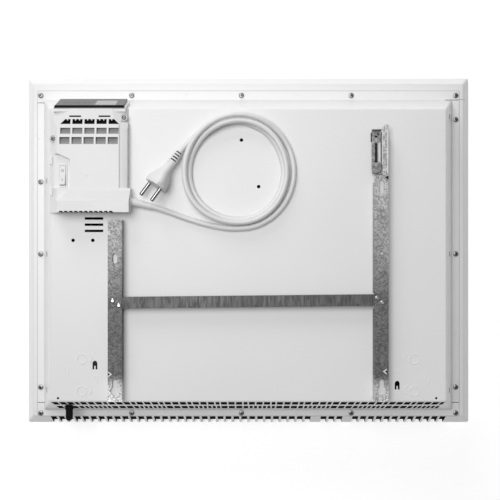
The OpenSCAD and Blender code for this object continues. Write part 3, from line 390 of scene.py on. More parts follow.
def rings(loops, close=False):
    """Faces between loops of equal length, each loop closed, with flat caps unless closed."""
    count = len(loops[0])
    points = [p for loop in loops for p in loop]
    faces = []
    pairs = len(loops) if close else len(loops) - 1
    for i in range(pairs):
        a, b = i * count, (i + 1) % len(loops) * count
        for k in range(count):
            n = (k + 1) % count
            faces.append((a + k, a + n, b + n, b + k))
    if not close:
        faces.append(tuple(range(count))[::-1])
        faces.append(tuple(range((len(loops) - 1) * count, len(loops) * count)))
    return points, faces


def joined(parts):
    """Points and faces of several (points, faces) pairs as one."""
    points, faces = [], []
    for more, sides in parts:
        base = len(points)
        points += list(more)
        faces += [tuple(base + i for i in side) for side in sides]
    return points, faces


def in_mm(points):
    """Points given in millimetres, turned into metres."""
    return [tuple(c * MM for c in p) for p in points]


def prism(outline, low, high):
    """Upright solid over an outline of (x, y) pairs."""
    return rings([[(x, y, z) for x, y in outline] for z in (low, high)])


def box(x0, x1, y0, y1, z0, z1):
    """Box between two places on each axis, in metres."""
    return prism(((x0, y0), (x1, y0), (x1, y1), (x0, y1)), z0, z1)


def box_mm(*edges):
    """Box from x0, x1, y0, y1, z0 and z1 in millimetres."""
    return box(*(edge * MM for edge in edges))


def round_rect(x0, x1, y0, y1, radius, z, steps=5):
    """Loop of points round a rectangle with round corners."""
    centres = [(x1 - radius, y1 - radius, 0), (x0 + radius, y1 - radius, 90),
               (x0 + radius, y0 + radius, 180), (x1 - radius, y0 + radius, 270)]
    loop = []
    for x, y, start in centres:
        for k in range(steps + 1):
            turn = math.radians(start + 90 * k / steps)
            loop.append((x + radius * math.cos(turn), y + radius * math.sin(turn), z))
    return loop


def inset(rect, by):
    """The rectangle (x0, x1, y0, y1) with each side moved inwards."""
    return rect[0] + by, rect[1] - by, rect[2] + by, rect[3] - by


def lathe(profile, segments=32, ring=False):
    """Solid turned about z from (radius, height) pairs, bottom to top, or a ring of them."""
    turns = [math.tau * k / segments for k in range(segments)]
    loops = [[(r * math.cos(t), r * math.sin(t), z) for t in turns] for r, z in profile]
    return rings(loops, close=ring)


def moved(part, matrix):
    """Points and faces of a part, carried by a matrix."""
    points, faces = part
    return [tuple(matrix @ Vector(p)) for p in points], faces


def at(x, y, z):
    """The matrix of a plain move."""
    return Matrix.Translation((x, y, z))


def paint_inner_shade(made, centre):
    """Gives the faces that look towards a point inside the piece its second finish, the painted
    shade.
    """
    for side in made.data.polygons:
        if side.normal.dot(side.center - Vector(centre)) < 0:
            side.material_index = 1


def dress(finish, *nodes):
    """Gives solid nodes a finish in every slot of their objects."""
    for name in nodes:
        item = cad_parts[name]
        if not item.material_slots:
            item.data.materials.append(None)
        for place in item.material_slots:
            place.link = "OBJECT"
            place.material = finish


WELD_GAP = 0.002 * MM
FLAT_TURN, EDGE_TURN = math.radians(0.5), math.radians(28)


def soften(*nodes, width=None):
    """Rounds the edges of rigid solid nodes, without touching their meshes."""
    for name in nodes:
        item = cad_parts[name]
        weld = item.modifiers.new("weld", "WELD")
        weld.merge_threshold = WELD_GAP
        flat = item.modifiers.new("flat", "DECIMATE")
        flat.decimate_type = "DISSOLVE"
        flat.angle_limit = FLAT_TURN
        edge = item.modifiers.new("edge", "BEVEL")
        edge.width = width or settings().sheet.edge
        edge.segments = 2
        edge.limit_method = "ANGLE"
        edge.angle_limit = EDGE_TURN
        edge.harden_normals = True


# The operators, one for the stage and one for each group of pieces

class Piece(bpy.types.Operator):
    """Common part of every operator here"""

    bl_options = {"REGISTER", "UNDO"}

    def execute(self, context):
        self.build(settings())
        return {"FINISHED"}


SENSOR_WIDTH, PICTURE_WIDTH = 36, 500
VIEW_END = 100
FLOOR_HALF, FLOOR_DROP = 30.0, 0.2 * MM
FLOOR_GLOW = 0.38
LIGHT_TARGET = Vector((0, 0, 0.05))
WHITE = (1, 1, 1, 1)


class HEATER_OT_studio(Piece):
    """Floor, lights and the camera straight over the heater's back"""

    bl_idname = "heater.studio"
    bl_label = "Studio"

    def build(self, chosen):
        scene = bpy.context.scene
        scene.view_settings.view_transform = "Standard"
        studio = chosen.studio
        lens = bpy.data.cameras.new("camera")
        lens.lens = studio.focal * SENSOR_WIDTH / PICTURE_WIDTH
        lens.clip_end = VIEW_END
        camera = new_object("camera", lens)
        camera.location = (studio.offset, 0, studio.height)
        scene.camera = camera
        self.floor()

        world = bpy.data.worlds.new("room")
        world.use_nodes = True
        sky = world.node_tree.nodes["Background"]
        sky.inputs["Color"].default_value = WHITE
        sky.inputs["Strength"].default_value = studio.sky
        scene.world = world

        self.lamp("key", (-0.63, 1.6, 0.85), 0.9, studio.key)
        self.lamp("fill", (-0.4, 0.4, 1.85), 1.3, studio.fill)

    def floor(self):
        """Wide sheet of white paper, which glows a little."""
        side = FLOOR_HALF
        mesh = bpy.data.meshes.new("floor")
        mesh.from_pydata([(-side, -side, 0), (side, -side, 0), (side, side, 0), (-side, side, 0)],
                         [], [(0, 1, 2, 3)])
        floor = new_object("floor", mesh)
        floor.location.z = -FLOOR_DROP
        paper = material("paper", (0.93, 0.93, 0.93), shade=0.005, patch=2.0, rough=0.9)
        shader = node_of(paper, "BSDF_PRINCIPLED")
        shader.inputs["Emission Color"].default_value = WHITE
        shader.inputs["Emission Strength"].default_value = FLOOR_GLOW
        mesh.materials.append(paper)

    def lamp(self, name, place, size, power):
        """Round soft light that looks at the heater."""
        data = bpy.data.lights.new(name, "AREA")
        data.shape = "DISK"
        data.size = size
        data.energy = power
        made = new_object(name, data)
        made.location = place
        aim = LIGHT_TARGET - Vector(place)
        made.rotation_mode = "QUATERNION"
        made.rotation_quaternion = aim.to_track_quat("-Z", "Y")


# The mains lead. Its moves, points and sections are in millimetres

CORD_Z = PAN_Z + 3.3 * MM
COIL_CENTRE = (-10.4 * MM, 92.6 * MM)
COIL_RX, COIL_RY = 64.6 * MM, 67 * MM
COIL_TURNS, TINY_TURN = 2.44, 0.002

# The coil's moves as it winds: first turn, last turn, then how far inwards and upwards
COIL_MOVES = (
    (0.3, 0.46, 0, 8.8), (0.8, 1, 6.9, -2), (1.04, 1.24, 2, 0), (1.28, 1.46, -2.1, 0.2),
    (1.55, 1.73, -1.3, -7), (1.78, 2, 5.3, 0), (2.02, 2.2, 1.4, 0), (2.3, 2.44, -2.8, 0),
)

# Points of the cord before and after the coil: x, y and the height of its middle
RELIEF_END = (-114.12 * MM, 51.23 * MM, 79.61 * MM)
RELIEF_TURN, RELIEF_FALL = math.radians(-14), 0.1
WAY_IN = ((-94, 45, 77.3), (-79, 39.5, 76.3), (-64, 34.5, 76.3), (-50, 30.5, 76.3),
          (-36, 27.5, 76.3), (-24, 25.75, 76.3))
WAY_OUT = ((-8, 152.2, 76.3), (-24, 152, 76.3), (-39, 148.8, 76.3), (-52.5, 142.6, 76.3),
           (-63.5, 134.6, 76.7), (-71.5, 126.8, 77.9), (-76.8, 121, 79.3))

PLUG_START = (-80.5, 116, 80.6)
PLUG_TURN, PLUG_RISE, PLUG_ROLL = math.radians(235), math.radians(9.5), math.radians(-55)

# Sections along the plug: place, half width, half height, and 2 for round up to 4 for square
PLUG_SECTIONS = (
    (0, 3.8, 3.8, 2), (0.5, 4.3, 4.3, 2), (4, 4.8, 4.8, 2), (12, 5.3, 5.3, 2), (18, 5.7, 5.7, 2),
    (19, 5.2, 5.2, 2), (20.5, 5.1, 5.1, 2.1), (25, 5.7, 5.6, 2.3), (29, 6.5, 6.5, 2.6),
    (31, 7.4, 7.3, 3), (35, 9.4, 8.7, 3.4), (40, 11.5, 9.7, 3.6), (44, 12.6, 10.2, 3.8),
    (46, 12.6, 10.2, 3.8),
)
SLAB_CORNER = ((13.2, 3.5), (9.6, 9.6), (4.5, 11))

# Bevels of the plug's front slab: share of its outline, and place along the plug
SLAB_STEPS = ((0.93, 44.3), (0.99, 44.6), (1.0, 45.2), (1.0, 49.2), (0.985, 49.8), (0.94, 50))

# Slots of the plug's relief, in pairs
SLOT_PAIRS, SLOT_START, SLOT_PITCH, SLOT_WIDTH = 4, 1.6, 3.7, 1.6
SLOT_X, SLOT_HALF_X, SLOT_HALF_Y = 4.9, 2, 3.4


def eased(low, high, t):
    """Smooth step from 0 to 1 between two values of t."""
    u = min(1, max(0, (t - low) / (high - low)))
    return u * u * (3 - 2 * u)


def coil_point(t):
    """The cord after t turns: over the lead, then inside its first loop, then below both."""
    inward = sum(move * eased(low, high, t) for low, high, move, _ in COIL_MOVES) * MM
    lift = sum(move * eased(low, high, t) for low, high, _, move in COIL_MOVES) * MM
    turn = math.tau * t - math.pi / 2
    return Vector((COIL_CENTRE[0] + (COIL_RX - inward) * math.cos(turn),
                   COIL_CENTRE[1] + (COIL_RY - inward) * math.sin(turn), CORD_Z + lift))


def plug_place(roll=PLUG_ROLL):
    """The turn and move that bring z along the plug's pins, and x from pin to pin."""
    return (Matrix.Translation(Vector(PLUG_START) * MM) @ Matrix.Rotation(PLUG_TURN, 4, "Z")
            @ Matrix.Rotation(math.pi / 2 - PLUG_RISE, 4, "Y") @ Matrix.Rotation(roll, 4, "Z"))


def cord_route(chosen):
    """Points of the whole lead, from the relief's tip to the plug."""
    d = chosen.lead.diameter
    relief = Vector(RELIEF_END)
    way = Vector((math.cos(RELIEF_TURN), math.sin(RELIEF_TURN), -RELIEF_FALL))
    out = [relief, relief + d * way.normalized()]
    out += [Vector(p) for p in in_mm(WAY_IN)]
    steps = int(COIL_TURNS * chosen.lead.rings)
    out += [coil_point(i / chosen.lead.rings) for i in range(steps + 1)]
    end, last = coil_point(COIL_TURNS), coil_point(COIL_TURNS - TINY_TURN)
    way = end - last
    way.z = 0
    out += [end, end + d * way.normalized()]
    out += [Vector(p) for p in in_mm((*WAY_OUT, PLUG_START))]
    return out


def curve_length(item):
    """Length of a curve object's own line."""
    seen = item.copy()
    seen.data = item.data.copy()
    seen.data.bevel_depth = 0
    bpy.context.scene.collection.objects.link(seen)
    line = seen.evaluated_get(bpy.context.evaluated_depsgraph_get()).to_mesh()
    total = sum((line.vertices[e.vertices[0]].co - line.vertices[e.vertices[1]].co).length
                for e in line.edges)
    bpy.data.objects.remove(seen)
    return total


def plug_section(place, half_w, half_h, square, segments=40):
    """Loop between a circle and a rounded square, across the plug."""
    loop = []
    for k in range(segments):
        c, s = math.cos(math.tau * k / segments), math.sin(math.tau * k / segments)
        x = math.copysign(abs(c) ** (2 / square), c) * half_w
        y = math.copysign(abs(s) ** (2 / square), s) * half_h
        loop.append((x * MM, y * MM, place * MM))
    return loop


class HEATER_OT_lead(Piece):
    """The cord in one length, coiled on the pan, with its moulded plug"""

    bl_idname = "heater.lead"
    bl_label = "Mains lead"

    def build(self, chosen):
        route = cord_route(chosen)
        line = bpy.data.curves.new("mains_cord", "CURVE")
        line.dimensions = "3D"
        line.bevel_depth = chosen.lead.diameter / 2
        line.bevel_resolution = 5
        line.resolution_u = 6
        line.use_fill_caps = True
        spline = line.splines.new("BEZIER")
        spline.bezier_points.add(len(route) - 1)
        for knot, place in zip(spline.bezier_points, route):
            knot.co = place
            knot.handle_left_type = "AUTO"
            knot.handle_right_type = "AUTO"
        cord = new_object("mains_cord", line)
        line.materials.append(jacket())
        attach(cord, "heater")
        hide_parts("supply_cord", "cord_coil", "plug_lead")
        plug = self.plug()
        curve_length(cord)

    def plug(self):
        """Moulded body: slotted relief, neck, swelling grip and bevelled front slab."""
        body = rings([plug_section(*values) for values in PLUG_SECTIONS])
        half = [*SLAB_CORNER, *((-x, y) for x, y in SLAB_CORNER[::-1])]
        outline = half + [(-x, -y) for x, y in half]
        slab = rings([[(x * k * MM, y * k * MM, z * MM) for x, y in outline]
                      for k, z in SLAB_STEPS])
        made = piece("plug_shell", *moved(body, plug_place()), white_plastic(), "heater",
                     "white_plastic", 40)
        slots = []
        for i in range(SLOT_PAIRS):
            for side in (-1, 1):
                x, z = side * SLOT_X, SLOT_START + i * SLOT_PITCH
                slot = box_mm(x - SLOT_HALF_X, x + SLOT_HALF_X, -SLOT_HALF_Y, SLOT_HALF_Y, z,
                              z + SLOT_WIDTH)
                slots.append(moved(slot, plug_place(roll=0)))
        made.data.materials.append(material("slot_shade", (0.04, 0.04, 0.04), rough=0.7))
        carve(made, loose("slots", *joined(slots)), slot=1)
        carve(made, loose("slab", *moved(slab, plug_place())), "UNION")
        shade(made, 40)
        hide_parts("plug_body")
        dress(polished_nickel(), "plug_pins")
        dress(white_plastic(), "cable_gland")
        return made


# Pressed steel

SCREW_X = 260.2 * MM
SCREW_Y = (193.8 * MM, -204.4 * MM)
SCREW_MID, SCREW_STEP = -8.5 * MM, 137.6 * MM
BOSSES = in_mm([(-146.6, 156.5), (-230.5, 131.3)])
BOSS_Z = 79.2 * MM

# More screws on the flange's sides, with a mark on the pan's wall beside each. The high ones are
# (side, y), because the two sides differ
SIDE_SCREW_Y = (-172 * MM, -5 * MM)
HIGH_SCREWS = ((-1, 85.5 * MM), (1, 163.5 * MM))
MARK_X, MARK_HALF, MARK_LOW, MARK_HIGH = 247.14 * MM, 3 * MM, 43 * MM, 47.5 * MM

SHEET_CORNER = 2.5 * MM
OUTLET_Y = (172 * MM, 198 * MM)
INLET_PITCH, INLET_WIDTH, INLET_SHIFT = 10 * MM, 7.2 * MM, 0.36
INLET_COUNT, INLETS_LEFT_OUT = 50, (33, 37)

# The shell's inlets are cut twice, the second time on to the front edge: low, high and reach
INLET_CUTS = (("inlets", 5 * MM, 20.8 * MM, 13.5 * MM), ("edge_inlets", -MM, 6 * MM, 3.1 * MM))


def screw_places():
    """Where the flange's screws sit, as (x, y)."""
    places = [(SCREW_MID + i * SCREW_STEP, y) for i in (-1, 0, 1) for y in SCREW_Y]
    places += [(side * SCREW_X, y) for side in (-1, 1) for y in (*SCREW_Y, *SIDE_SCREW_Y)]
    return places + [(side * SCREW_X, y) for side, y in HIGH_SCREWS]


class HEATER_OT_shell(Piece):
    """Front shell: bevelled tray with rolled edges, inlets in its lower side and the outlet"""

    bl_idname = "heater.shell"
    bl_label = "Front shell"

    def build(self, chosen):
        def loop(by, z):
            return round_rect(*inset(BODY, by * MM), SHEET_CORNER, z * MM)

        def lip(z):
            return round_rect(*LIP_OPENING, 2 * MM, z * MM)

        top = SHELL_TOP / MM
        lean = SHELL_LEAN / MM
        form = rings([
            loop(3, 0), loop(1.6, 0.4), loop(0.5, 1.5), loop(0, 3), loop(0.6, 4.2),
            loop(lean - 0.9, top - 1.6), loop(lean - 0.1, top - 0.5), loop(lean + 1, top), lip(top),
            lip(top - 1.2), loop(lean + 1.8, top - 1.2), loop(lean + 0.5, top - 2.2),
            loop(1.8, 4.6), loop(1.2, 3.2), loop(2.2, 1.7), loop(3.4, 1.2),
        ])
        made = piece("front_panel", *form, powder_coat(), "heater", "white_sheet")
        # Second finish: painted shade on the inner faces
        made.data.materials.append(painted_shade())
        for name, low, high, reach in INLET_CUTS:
            carve(made, loose(name, *joined(self.inlets(low, high, reach))))
        outlet = box(PAN_TOP[0], PAN_TOP[1], *OUTLET_Y, -MM, 2.2 * MM)
        hole = lathe(in_mm([(1.75, 0), (1.75, 6)]), 20)
        holes = [moved(hole, at(x, y, 18 * MM)) for x, y in screw_places()]
        carve(made, loose("cuts", *joined([outlet, *holes])))
        shade(made, 32)
        paint_inner_shade(made, (0, 0, 12 * MM))
        keep_flat(made)
        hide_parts("front_shell")
        dress(white_plastic(), "outlet_grille")

    def inlets(self, low, high, reach):
        """Row of boxes through the lower side, between two heights and as deep as reach."""
        edge = BODY[2]
        first = -(INLET_COUNT - 1) / 2 - INLET_SHIFT
        slots = []
        for i in range(INLET_COUNT):
            if i not in INLETS_LEFT_OUT:
                x = (first + i) * INLET_PITCH
                slots.append(box(x, x + INLET_WIDTH, edge - MM, edge + reach, low, high))
        return slots


# The pan's two rows of inlets, in millimetres: widths in one group, lower edge, upper edge
UPPER_INLETS = ((6.8, 6.8, 6.8, 4.1), 56, 71.5)
LOWER_INLETS = ((6.8, 6.8, 6.8, 5) + (3.17,) * 6, 31, 47)
INLET_BAR, INLET_EASE = 2.3, 0.25


def inlet_cuts():
    """Boxes through the pan's bottom wall: groups of wide and narrow slots in two rows."""
    cuts = []
    for group, low, high in (UPPER_INLETS, LOWER_INLETS):
        group_length = sum(width + INLET_BAR for width in group)
        groups = int((2 * PAN_TOP[1] / MM - 3 + INLET_BAR) / group_length)
        x = -groups * group_length / 2 + INLET_BAR / 2
        for width in group * groups:
            cuts.append(box((x - INLET_EASE) * MM, (x + width + INLET_EASE) * MM, FOOT[2] - MM,
                            PAN_TOP[2] + MM, low * MM, high * MM))
            x += width + INLET_BAR
    return cuts


class HEATER_OT_pan(Piece):
    """Rear pan: deep tray with soft bends, inlets, holes, embosses and spot welds"""

    bl_idname = "heater.pan"
    bl_label = "Rear pan"

    def build(self, chosen):
        bend = chosen.sheet.bend / MM
        slope = PAN_LEAN / (PAN_Z - FOOT_Z)

        def wall(z, extra):
            """Loop round the pan's wall at a height, moved inwards by extra."""
            by = (z * MM - FOOT_Z) * slope + extra * MM
            return round_rect(*inset(FOOT, by), chosen.sheet.corner, z * MM)

        def flange(by, z):
            return round_rect(*inset(FLANGE, by * MM), SHEET_CORNER, z * MM)

        top = PAN_Z / MM
        foot = FOOT_Z / MM
        form = rings([
            wall(top, bend * 0.8), wall(top - bend * 0.1, 0.9), wall(top - bend * 0.42, 0.28),
            wall(top - bend, 0), wall(foot + 1.2, 0.05), wall(foot + 0.25, -0.45),
            wall(foot, -1.4), flange(0.3, foot), flange(0, foot - 0.3), flange(0, foot - 1),
            wall(foot - 1, 0.9), wall(foot + 0.6, 1.1), wall(top - bend - 0.5, 1.1),
            wall(top - 1.9, 1.35), wall(top - 1, bend * 0.8 + 0.3),
        ])
        made = piece("back_pan", *form, powder_coat(), "heater", "white_sheet")
        # Second finish: painted shade on the inner faces and on the walls of the cuts
        made.data.materials.append(painted_shade())
        carve(made, loose("inlets", *joined(inlet_cuts())), slot=1)
        carve(made, loose("openings", *joined(self.openings())), slot=1)
        carve(made, loose("gaps", *joined(self.fold_gaps())), slot=1)
        shade(made, 32)
        paint_inner_shade(made, (0, 0, 20 * MM))
        keep_flat(made)
        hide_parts("rear_pan")
        made = piece("press_marks", *joined(self.raised()), powder_coat(), "heater",
                     "white_sheet", 50)
        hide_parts("rear_pan")
        self.seams()

    def seams(self):
        """Fine painted shadow line round the flange with the folded corner's line beside it, and
        painted shade that shows through the left hook's slot."""
        low, high = SHELL_TOP + 0.02 * MM, SHELL_TOP + 0.3 * MM
        inner, outer = inset(FLANGE, -0.05 * MM), inset(FLANGE, -0.6 * MM)
        line = rings([round_rect(*rect, 2.6 * MM, z) for rect, z in
                      ((inner, low), (outer, low), (outer, high), (inner, high))], close=True)
        fold = box(FLANGE[1] + 0.2 * MM, FLANGE[1] + 7.5 * MM, 188.9 * MM, 189.6 * MM, low, high)
        grey = material("seam_shade", (0.48, 0.48, 0.48), shade=0.1, patch=50.0, rough=0.6)
        piece("flange_shadow_line", *joined([line, fold]), grey, "heater", "black_plastic")
        # Painted shade: a dark plate under the left hook's slot
        under = box_mm(-186, -179, -143, -131, 72.05, 72.4)
        piece("hook_shade", *under, painted_shade(), "heater", "black_plastic")

    def bead(self, x, y, radius, height, squeeze=1.0, low=0, high=360):
        """Low round bead along a circle, or an arc of it, flattened sideways."""
        steps, half, foot = 36, 0.55, -0.1
        section = in_mm([(-half, foot), (half, foot), (half * 0.5, height), (-half * 0.5, height)])
        closed = high - low == 360
        loops = []
        for k in range(steps if closed else steps + 1):
            turn = math.radians(low + (high - low) * k / steps)
            c, s = math.cos(turn), math.sin(turn)
            loops.append([((radius * MM + out) * c * squeeze, (radius * MM + out) * s, up)
                          for out, up in section])
        return moved(rings(loops, close=closed), at(x * MM, y * MM, PAN_Z))

    def raised(self):
        """Low beads pressed into the back, and the domes of spot welds."""
        found = []
        for side in (-1, 1):
            outward = 90 + side * 90
            for y in (-168, -130):
                found.append(self.bead(side * 198, y, 5.7, 0.5))
                found.append(self.bead(side * 191.2, y + 1.2, 5.2, 0.45, low=outward - 75,
                                       high=outward + 75))
        for x, y, radius in ((-216, -143, 4.2), (-181, -153, 3.4), (178, -142, 3.4),
                             (213, -154, 4.2)):
            found.append(self.bead(x, y, radius, 0.38, squeeze=0.55))
        welds = [(x, 195.2) for x in (-78, 60.5, 198)] + [(x, -204.6) for x in (-216, -78, 60, 198)]
        welds += [(-262.2, 141), (261, 27.5), (260, -104)]
        dome = lathe(in_mm([(1.9, -0.1), (1.8, 0.08), (1.4, 0.18), (0.7, 0.24)]), 20)
        return found + [moved(dome, at(x * MM, y * MM, FOOT_Z)) for x, y in welds]

    def openings(self):
        """Holes, three slots below the cassette, two windows, hooks and the walls' marks."""
        low, high = PAN_Z - 2 * MM, PAN_Z + 2 * MM

        def hole(x, y, r, z0=low, z1=high):
            return moved(lathe([(r * MM, z0), (r * MM, z1)], 24), at(x * MM, y * MM, 0))

        cuts = [hole(x, y, r) for x, y, r in (
            (-226.5, -176.5, 1.4), (224, -176.5, 1.4), (-208.5, 11.5, 2.1), (-185, 11.5, 2.1),
            (-8, 131, 2.1), (12.5, 75.5, 2.1),
        )]
        cuts += [hole(x / MM, y / MM, 1.9, 20 * MM, 25 * MM) for x, y in screw_places()]
        for i in range(3):
            y = CASSETTE_Y0 - (7.9 + 7.4 * i) * MM
            cuts.append(box(CASSETTE_X0 + 41.5 * MM, CASSETTE_X0 + 63.5 * MM, y, y + 2.9 * MM,
                            low, high))
        for window in ((-229.5, -146.6, 51.6, 160.9), (145.9, 155.4, 128.5, 139.5)):
            cuts.append(box(*(edge * MM for edge in window), low, high))
        cuts += [self.hook(x, y, low, high) for x, y in ((-182.5, -137), (177.5, -161))]
        marked = [(side, y) for side in (-1, 1) for y in SIDE_SCREW_Y]
        for side, y in (*marked, *HIGH_SCREWS):
            x = side * MARK_X
            cuts.append(box(x - MARK_HALF, x + MARK_HALF, y - MARK_HALF, y + MARK_HALF, MARK_LOW,
                            MARK_HIGH))
        turn = Matrix.Rotation(-math.pi / 2, 4, "X")
        sensor = lathe(in_mm([(4.4, -6), (4.4, 14)]), 28)
        cuts.append(moved(sensor, at(-218 * MM, -190 * MM, 51.3 * MM) @ turn))
        return cuts

    def fold_gaps(self):
        """Fine gaps where the flange's folded strips meet at the four corners."""
        gaps = []
        for side, y in ((-1, 184.6), (1, 188.2), (-1, -191.2), (1, -191.2)):
            x = side * 255.8
            gaps.append(box_mm(x - 8.6, x + 8.6, y - 0.35, y + 0.35, 22.5, 24))
        return gaps

    def hook(self, x, y, low, high):
        """Arched slot round a tab that is left standing."""
        arch = ((2.9, -5.2), (2.9, 2.3), (2.0, 4.4), (0, 5.3), (-2.0, 4.4), (-2.9, 2.3),
                (-2.9, -5.2), (-0.8, -5.2), (-0.8, -1), (0.8, -1), (0.8, -5.2))
        return prism(in_mm([(x + right, y + up) for right, up in arch]), low, high)


DIAGONALS = (math.pi / 4, -math.pi / 4)
SCREW_TURN = 0.7


def screw_head(radius, height):
    """Pan head with a cross recess, seated at z 0."""
    r, h = radius * MM, height * MM
    head = loose("head", *lathe([(r * 0.55, -4 * MM), (r * 0.55, 0), (r, 0), (r, h * 0.45),
                                 (r * 0.93, h * 0.72), (r * 0.75, h * 0.93), (r * 0.4, h)], 24))
    arm = box(-0.42 * MM, 0.42 * MM, -r * 0.52, r * 0.52, h * 0.45, h * 1.5)
    for turn in DIAGONALS:
        carve(head, loose("arm", *moved(arm, Matrix.Rotation(turn, 4, "Z"))))
    points = [tuple(v.co) for v in head.data.vertices]
    faces = [tuple(f.vertices) for f in head.data.polygons]
    bpy.data.objects.remove(head)
    return points, faces


class HEATER_OT_screws(Piece):
    """Pan head screws round the flange and in the cassette's bosses"""

    bl_idname = "heater.screws"
    bl_label = "Screws"

    def build(self, chosen):
        head, small = screw_head(3.3, 1.7), screw_head(2.6, 1.5)
        # Painted shade: flat black crosses in the screws' recesses
        arm = box_mm(-0.46, 0.46, -1.8, 1.8, 0.9, 1.5)
        recess = joined([moved(arm, Matrix.Rotation(turn, 4, "Z")) for turn in DIAGONALS])
        round_flange = [at(x, y, FOOT_Z) @ Matrix.Rotation(i * SCREW_TURN, 4, "Z")
                        for i, (x, y) in enumerate(screw_places())]
        on_bosses = [at(x, y, BOSS_Z) for x, y in BOSSES]
        dark = [moved(recess, place) for place in (*round_flange, *on_bosses)]
        piece("screw_recess_shade", *joined(dark), painted_shade(), "heater", "black_plastic", 30)
        turned = [moved(head, place) for place in round_flange]
        made = piece("flange_screws", *joined(turned), screw_zinc(), "heater", "zinc_screw", 30)
        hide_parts("perimeter_screws")
        turned = [moved(small, place) for place in on_bosses]
        made = piece("boss_screws", *joined(turned), screw_zinc(), "heater", "zinc_screw", 30)
        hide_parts("cassette_screws")
        # Painted shade: a flat dark ring round each boss stands in for the shade of a groove
        rim = lathe(in_mm([(3.75, 1.5), (4.1, 1.5), (4.1, 1.66), (3.75, 1.66)]), ring=True)
        grey = material("groove_shade", (0.1, 0.1, 0.1), shade=0.1, patch=90.0, rough=0.6)
        groove_shade_rings = [moved(rim, place) for place in on_bosses]
        piece("boss_groove_shade", *joined(groove_shade_rings), grey, "heater", "black_plastic")


class HEATER_OT_cassette(Piece):
    """Control cassette: moulded cover, grey control strip, keys, window and rocker switch"""

    bl_idname = "heater.cassette"
    bl_label = "Cassette"

    def build(self, chosen):
        dress(white_plastic(), "cassette_cover", "cassette_tub", "switch_housing", "switch_rocker",
              "terminal_block")
        keys = ("button_power", "button_minus", "button_plus")
        dress(panel_plastic(), "control_panel", *keys)
        dress(material("smoked_window", (0.22, 0.22, 0.225), shade=0.05, patch=50.0, rough=0.4,
                       grain=600.0, depth=0.002 * MM, coat=0.5), "display_window")
        soften("cassette_cover", "switch_housing", "switch_rocker", "control_panel",
               "cassette_tub", *keys)
        self.vent_screens()
        self.side_strip()
        self.black_edge_and_vent_shade()
        self.rocker_marks()

    def vent_screens(self):
        """Painted shade: grey sheets on the slats behind the two lower rows of vents."""
        sheets = []
        for y0, y1 in ((135.6, 144.8), (123.6, 133.9)):
            profile = ((y0, 83.25), (y0 + 1, 83.25), (y1, 80.05), (y1, 79.9), (y0, 83.1))
            sheets.append(rings([in_mm((x, y, z) for y, z in profile)
                                 for x in (-222.8, -151.3)]))
        grey = material("vent_screen", (0.3, 0.3, 0.3), shade=0.1, patch=150.0, rough=0.7)
        piece("vent_screens", *joined(sheets), grey, "heater", "black_plastic")

    def side_strip(self):
        """Low right shoulder of the cover, which ends in the same crease as its face."""
        x0, x1, foot = -150.6, -142.1, PAN_Z / MM + 0.02
        profile = in_mm([(x0, 80), (x0, 84.98), (x0 + 0.4, 84.9), (x1 - 1.2, 84.1),
                         (x1 - 0.3, 83.6), (x1, 82.6), (x1, foot), (x1 - 3, foot)])
        strip = rings([[(x, y, z) for x, z in profile] for y in (70 * MM, 150.4 * MM)])
        made = piece("cover_shoulder", *strip, white_plastic(), "heater", "white_plastic")
        crease = (at(-155.1 * MM, 148.1 * MM, 85 * MM) @ Matrix.Rotation(math.radians(-42), 4, "Z")
                  @ Matrix.Rotation(math.radians(-22), 4, "X"))
        carve(made, loose("beyond", *moved(box_mm(-60, 60, 0, 60, 0.02, 40), crease)))
        shade(made, 40)

    def black_edge_and_vent_shade(self):
        """Black strips along the control strip's lower edge, and painted shade behind the vents and
        slots.
        """
        tilt = at(0, CASSETTE_Y1, 80 * MM) @ Matrix.Rotation(-math.atan2(30, 14), 4, "X")
        dark = [moved(box_mm(-229, -146.8, 0.2, 1.7, 2.1, 2.4), tilt),
                box_mm(-229, -146.8, 168.4, 170.2, 80.2, 80.6)]
        # Painted shade under the two slots, in the lower wall's notches and under the first row of
        # vents
        for x in (-210.8, -176.2):
            dark.append(box_mm(x, x + 13.9, 156.7, 158.6, 81.5, 82.3))
        dark.append(box_mm(-220, -156.5, 44.3, 45.36, 78.05, 96.3))
        dark.append(box_mm(-222, -151.5, 146.8, 156, 77, 77.4))
        piece("black_edge_and_vent_shade", *joined(dark), black_plastic(), "heater", "black_plastic")

    def rocker_marks(self):
        """Printed ring and bar on the two halves of the rocker."""
        middle = at(-219.1 * MM, 88 * MM, 80.5 * MM) @ Matrix.Rotation(math.radians(-9), 4, "X")
        half_slope = math.radians(5.5)
        off, on = (middle @ at(0, side * 5.5 * MM, 1.73 * MM)
                   @ Matrix.Rotation(side * half_slope, 4, "X") for side in (1, -1))
        ring = lathe(in_mm([(1.1, -0.1), (1.6, -0.1), (1.6, 0.08), (1.1, 0.08)]), ring=True)
        bar = box_mm(-0.28, 0.28, -1.5, 1.5, -0.1, 0.08)
        ink = material("mark_ink", (0.1, 0.1, 0.1), shade=0.2, patch=200.0, rough=0.5)
        piece("rocker_marks", *joined([moved(ring, off), moved(bar, on)]), ink, "rocker",
              "black_plastic")


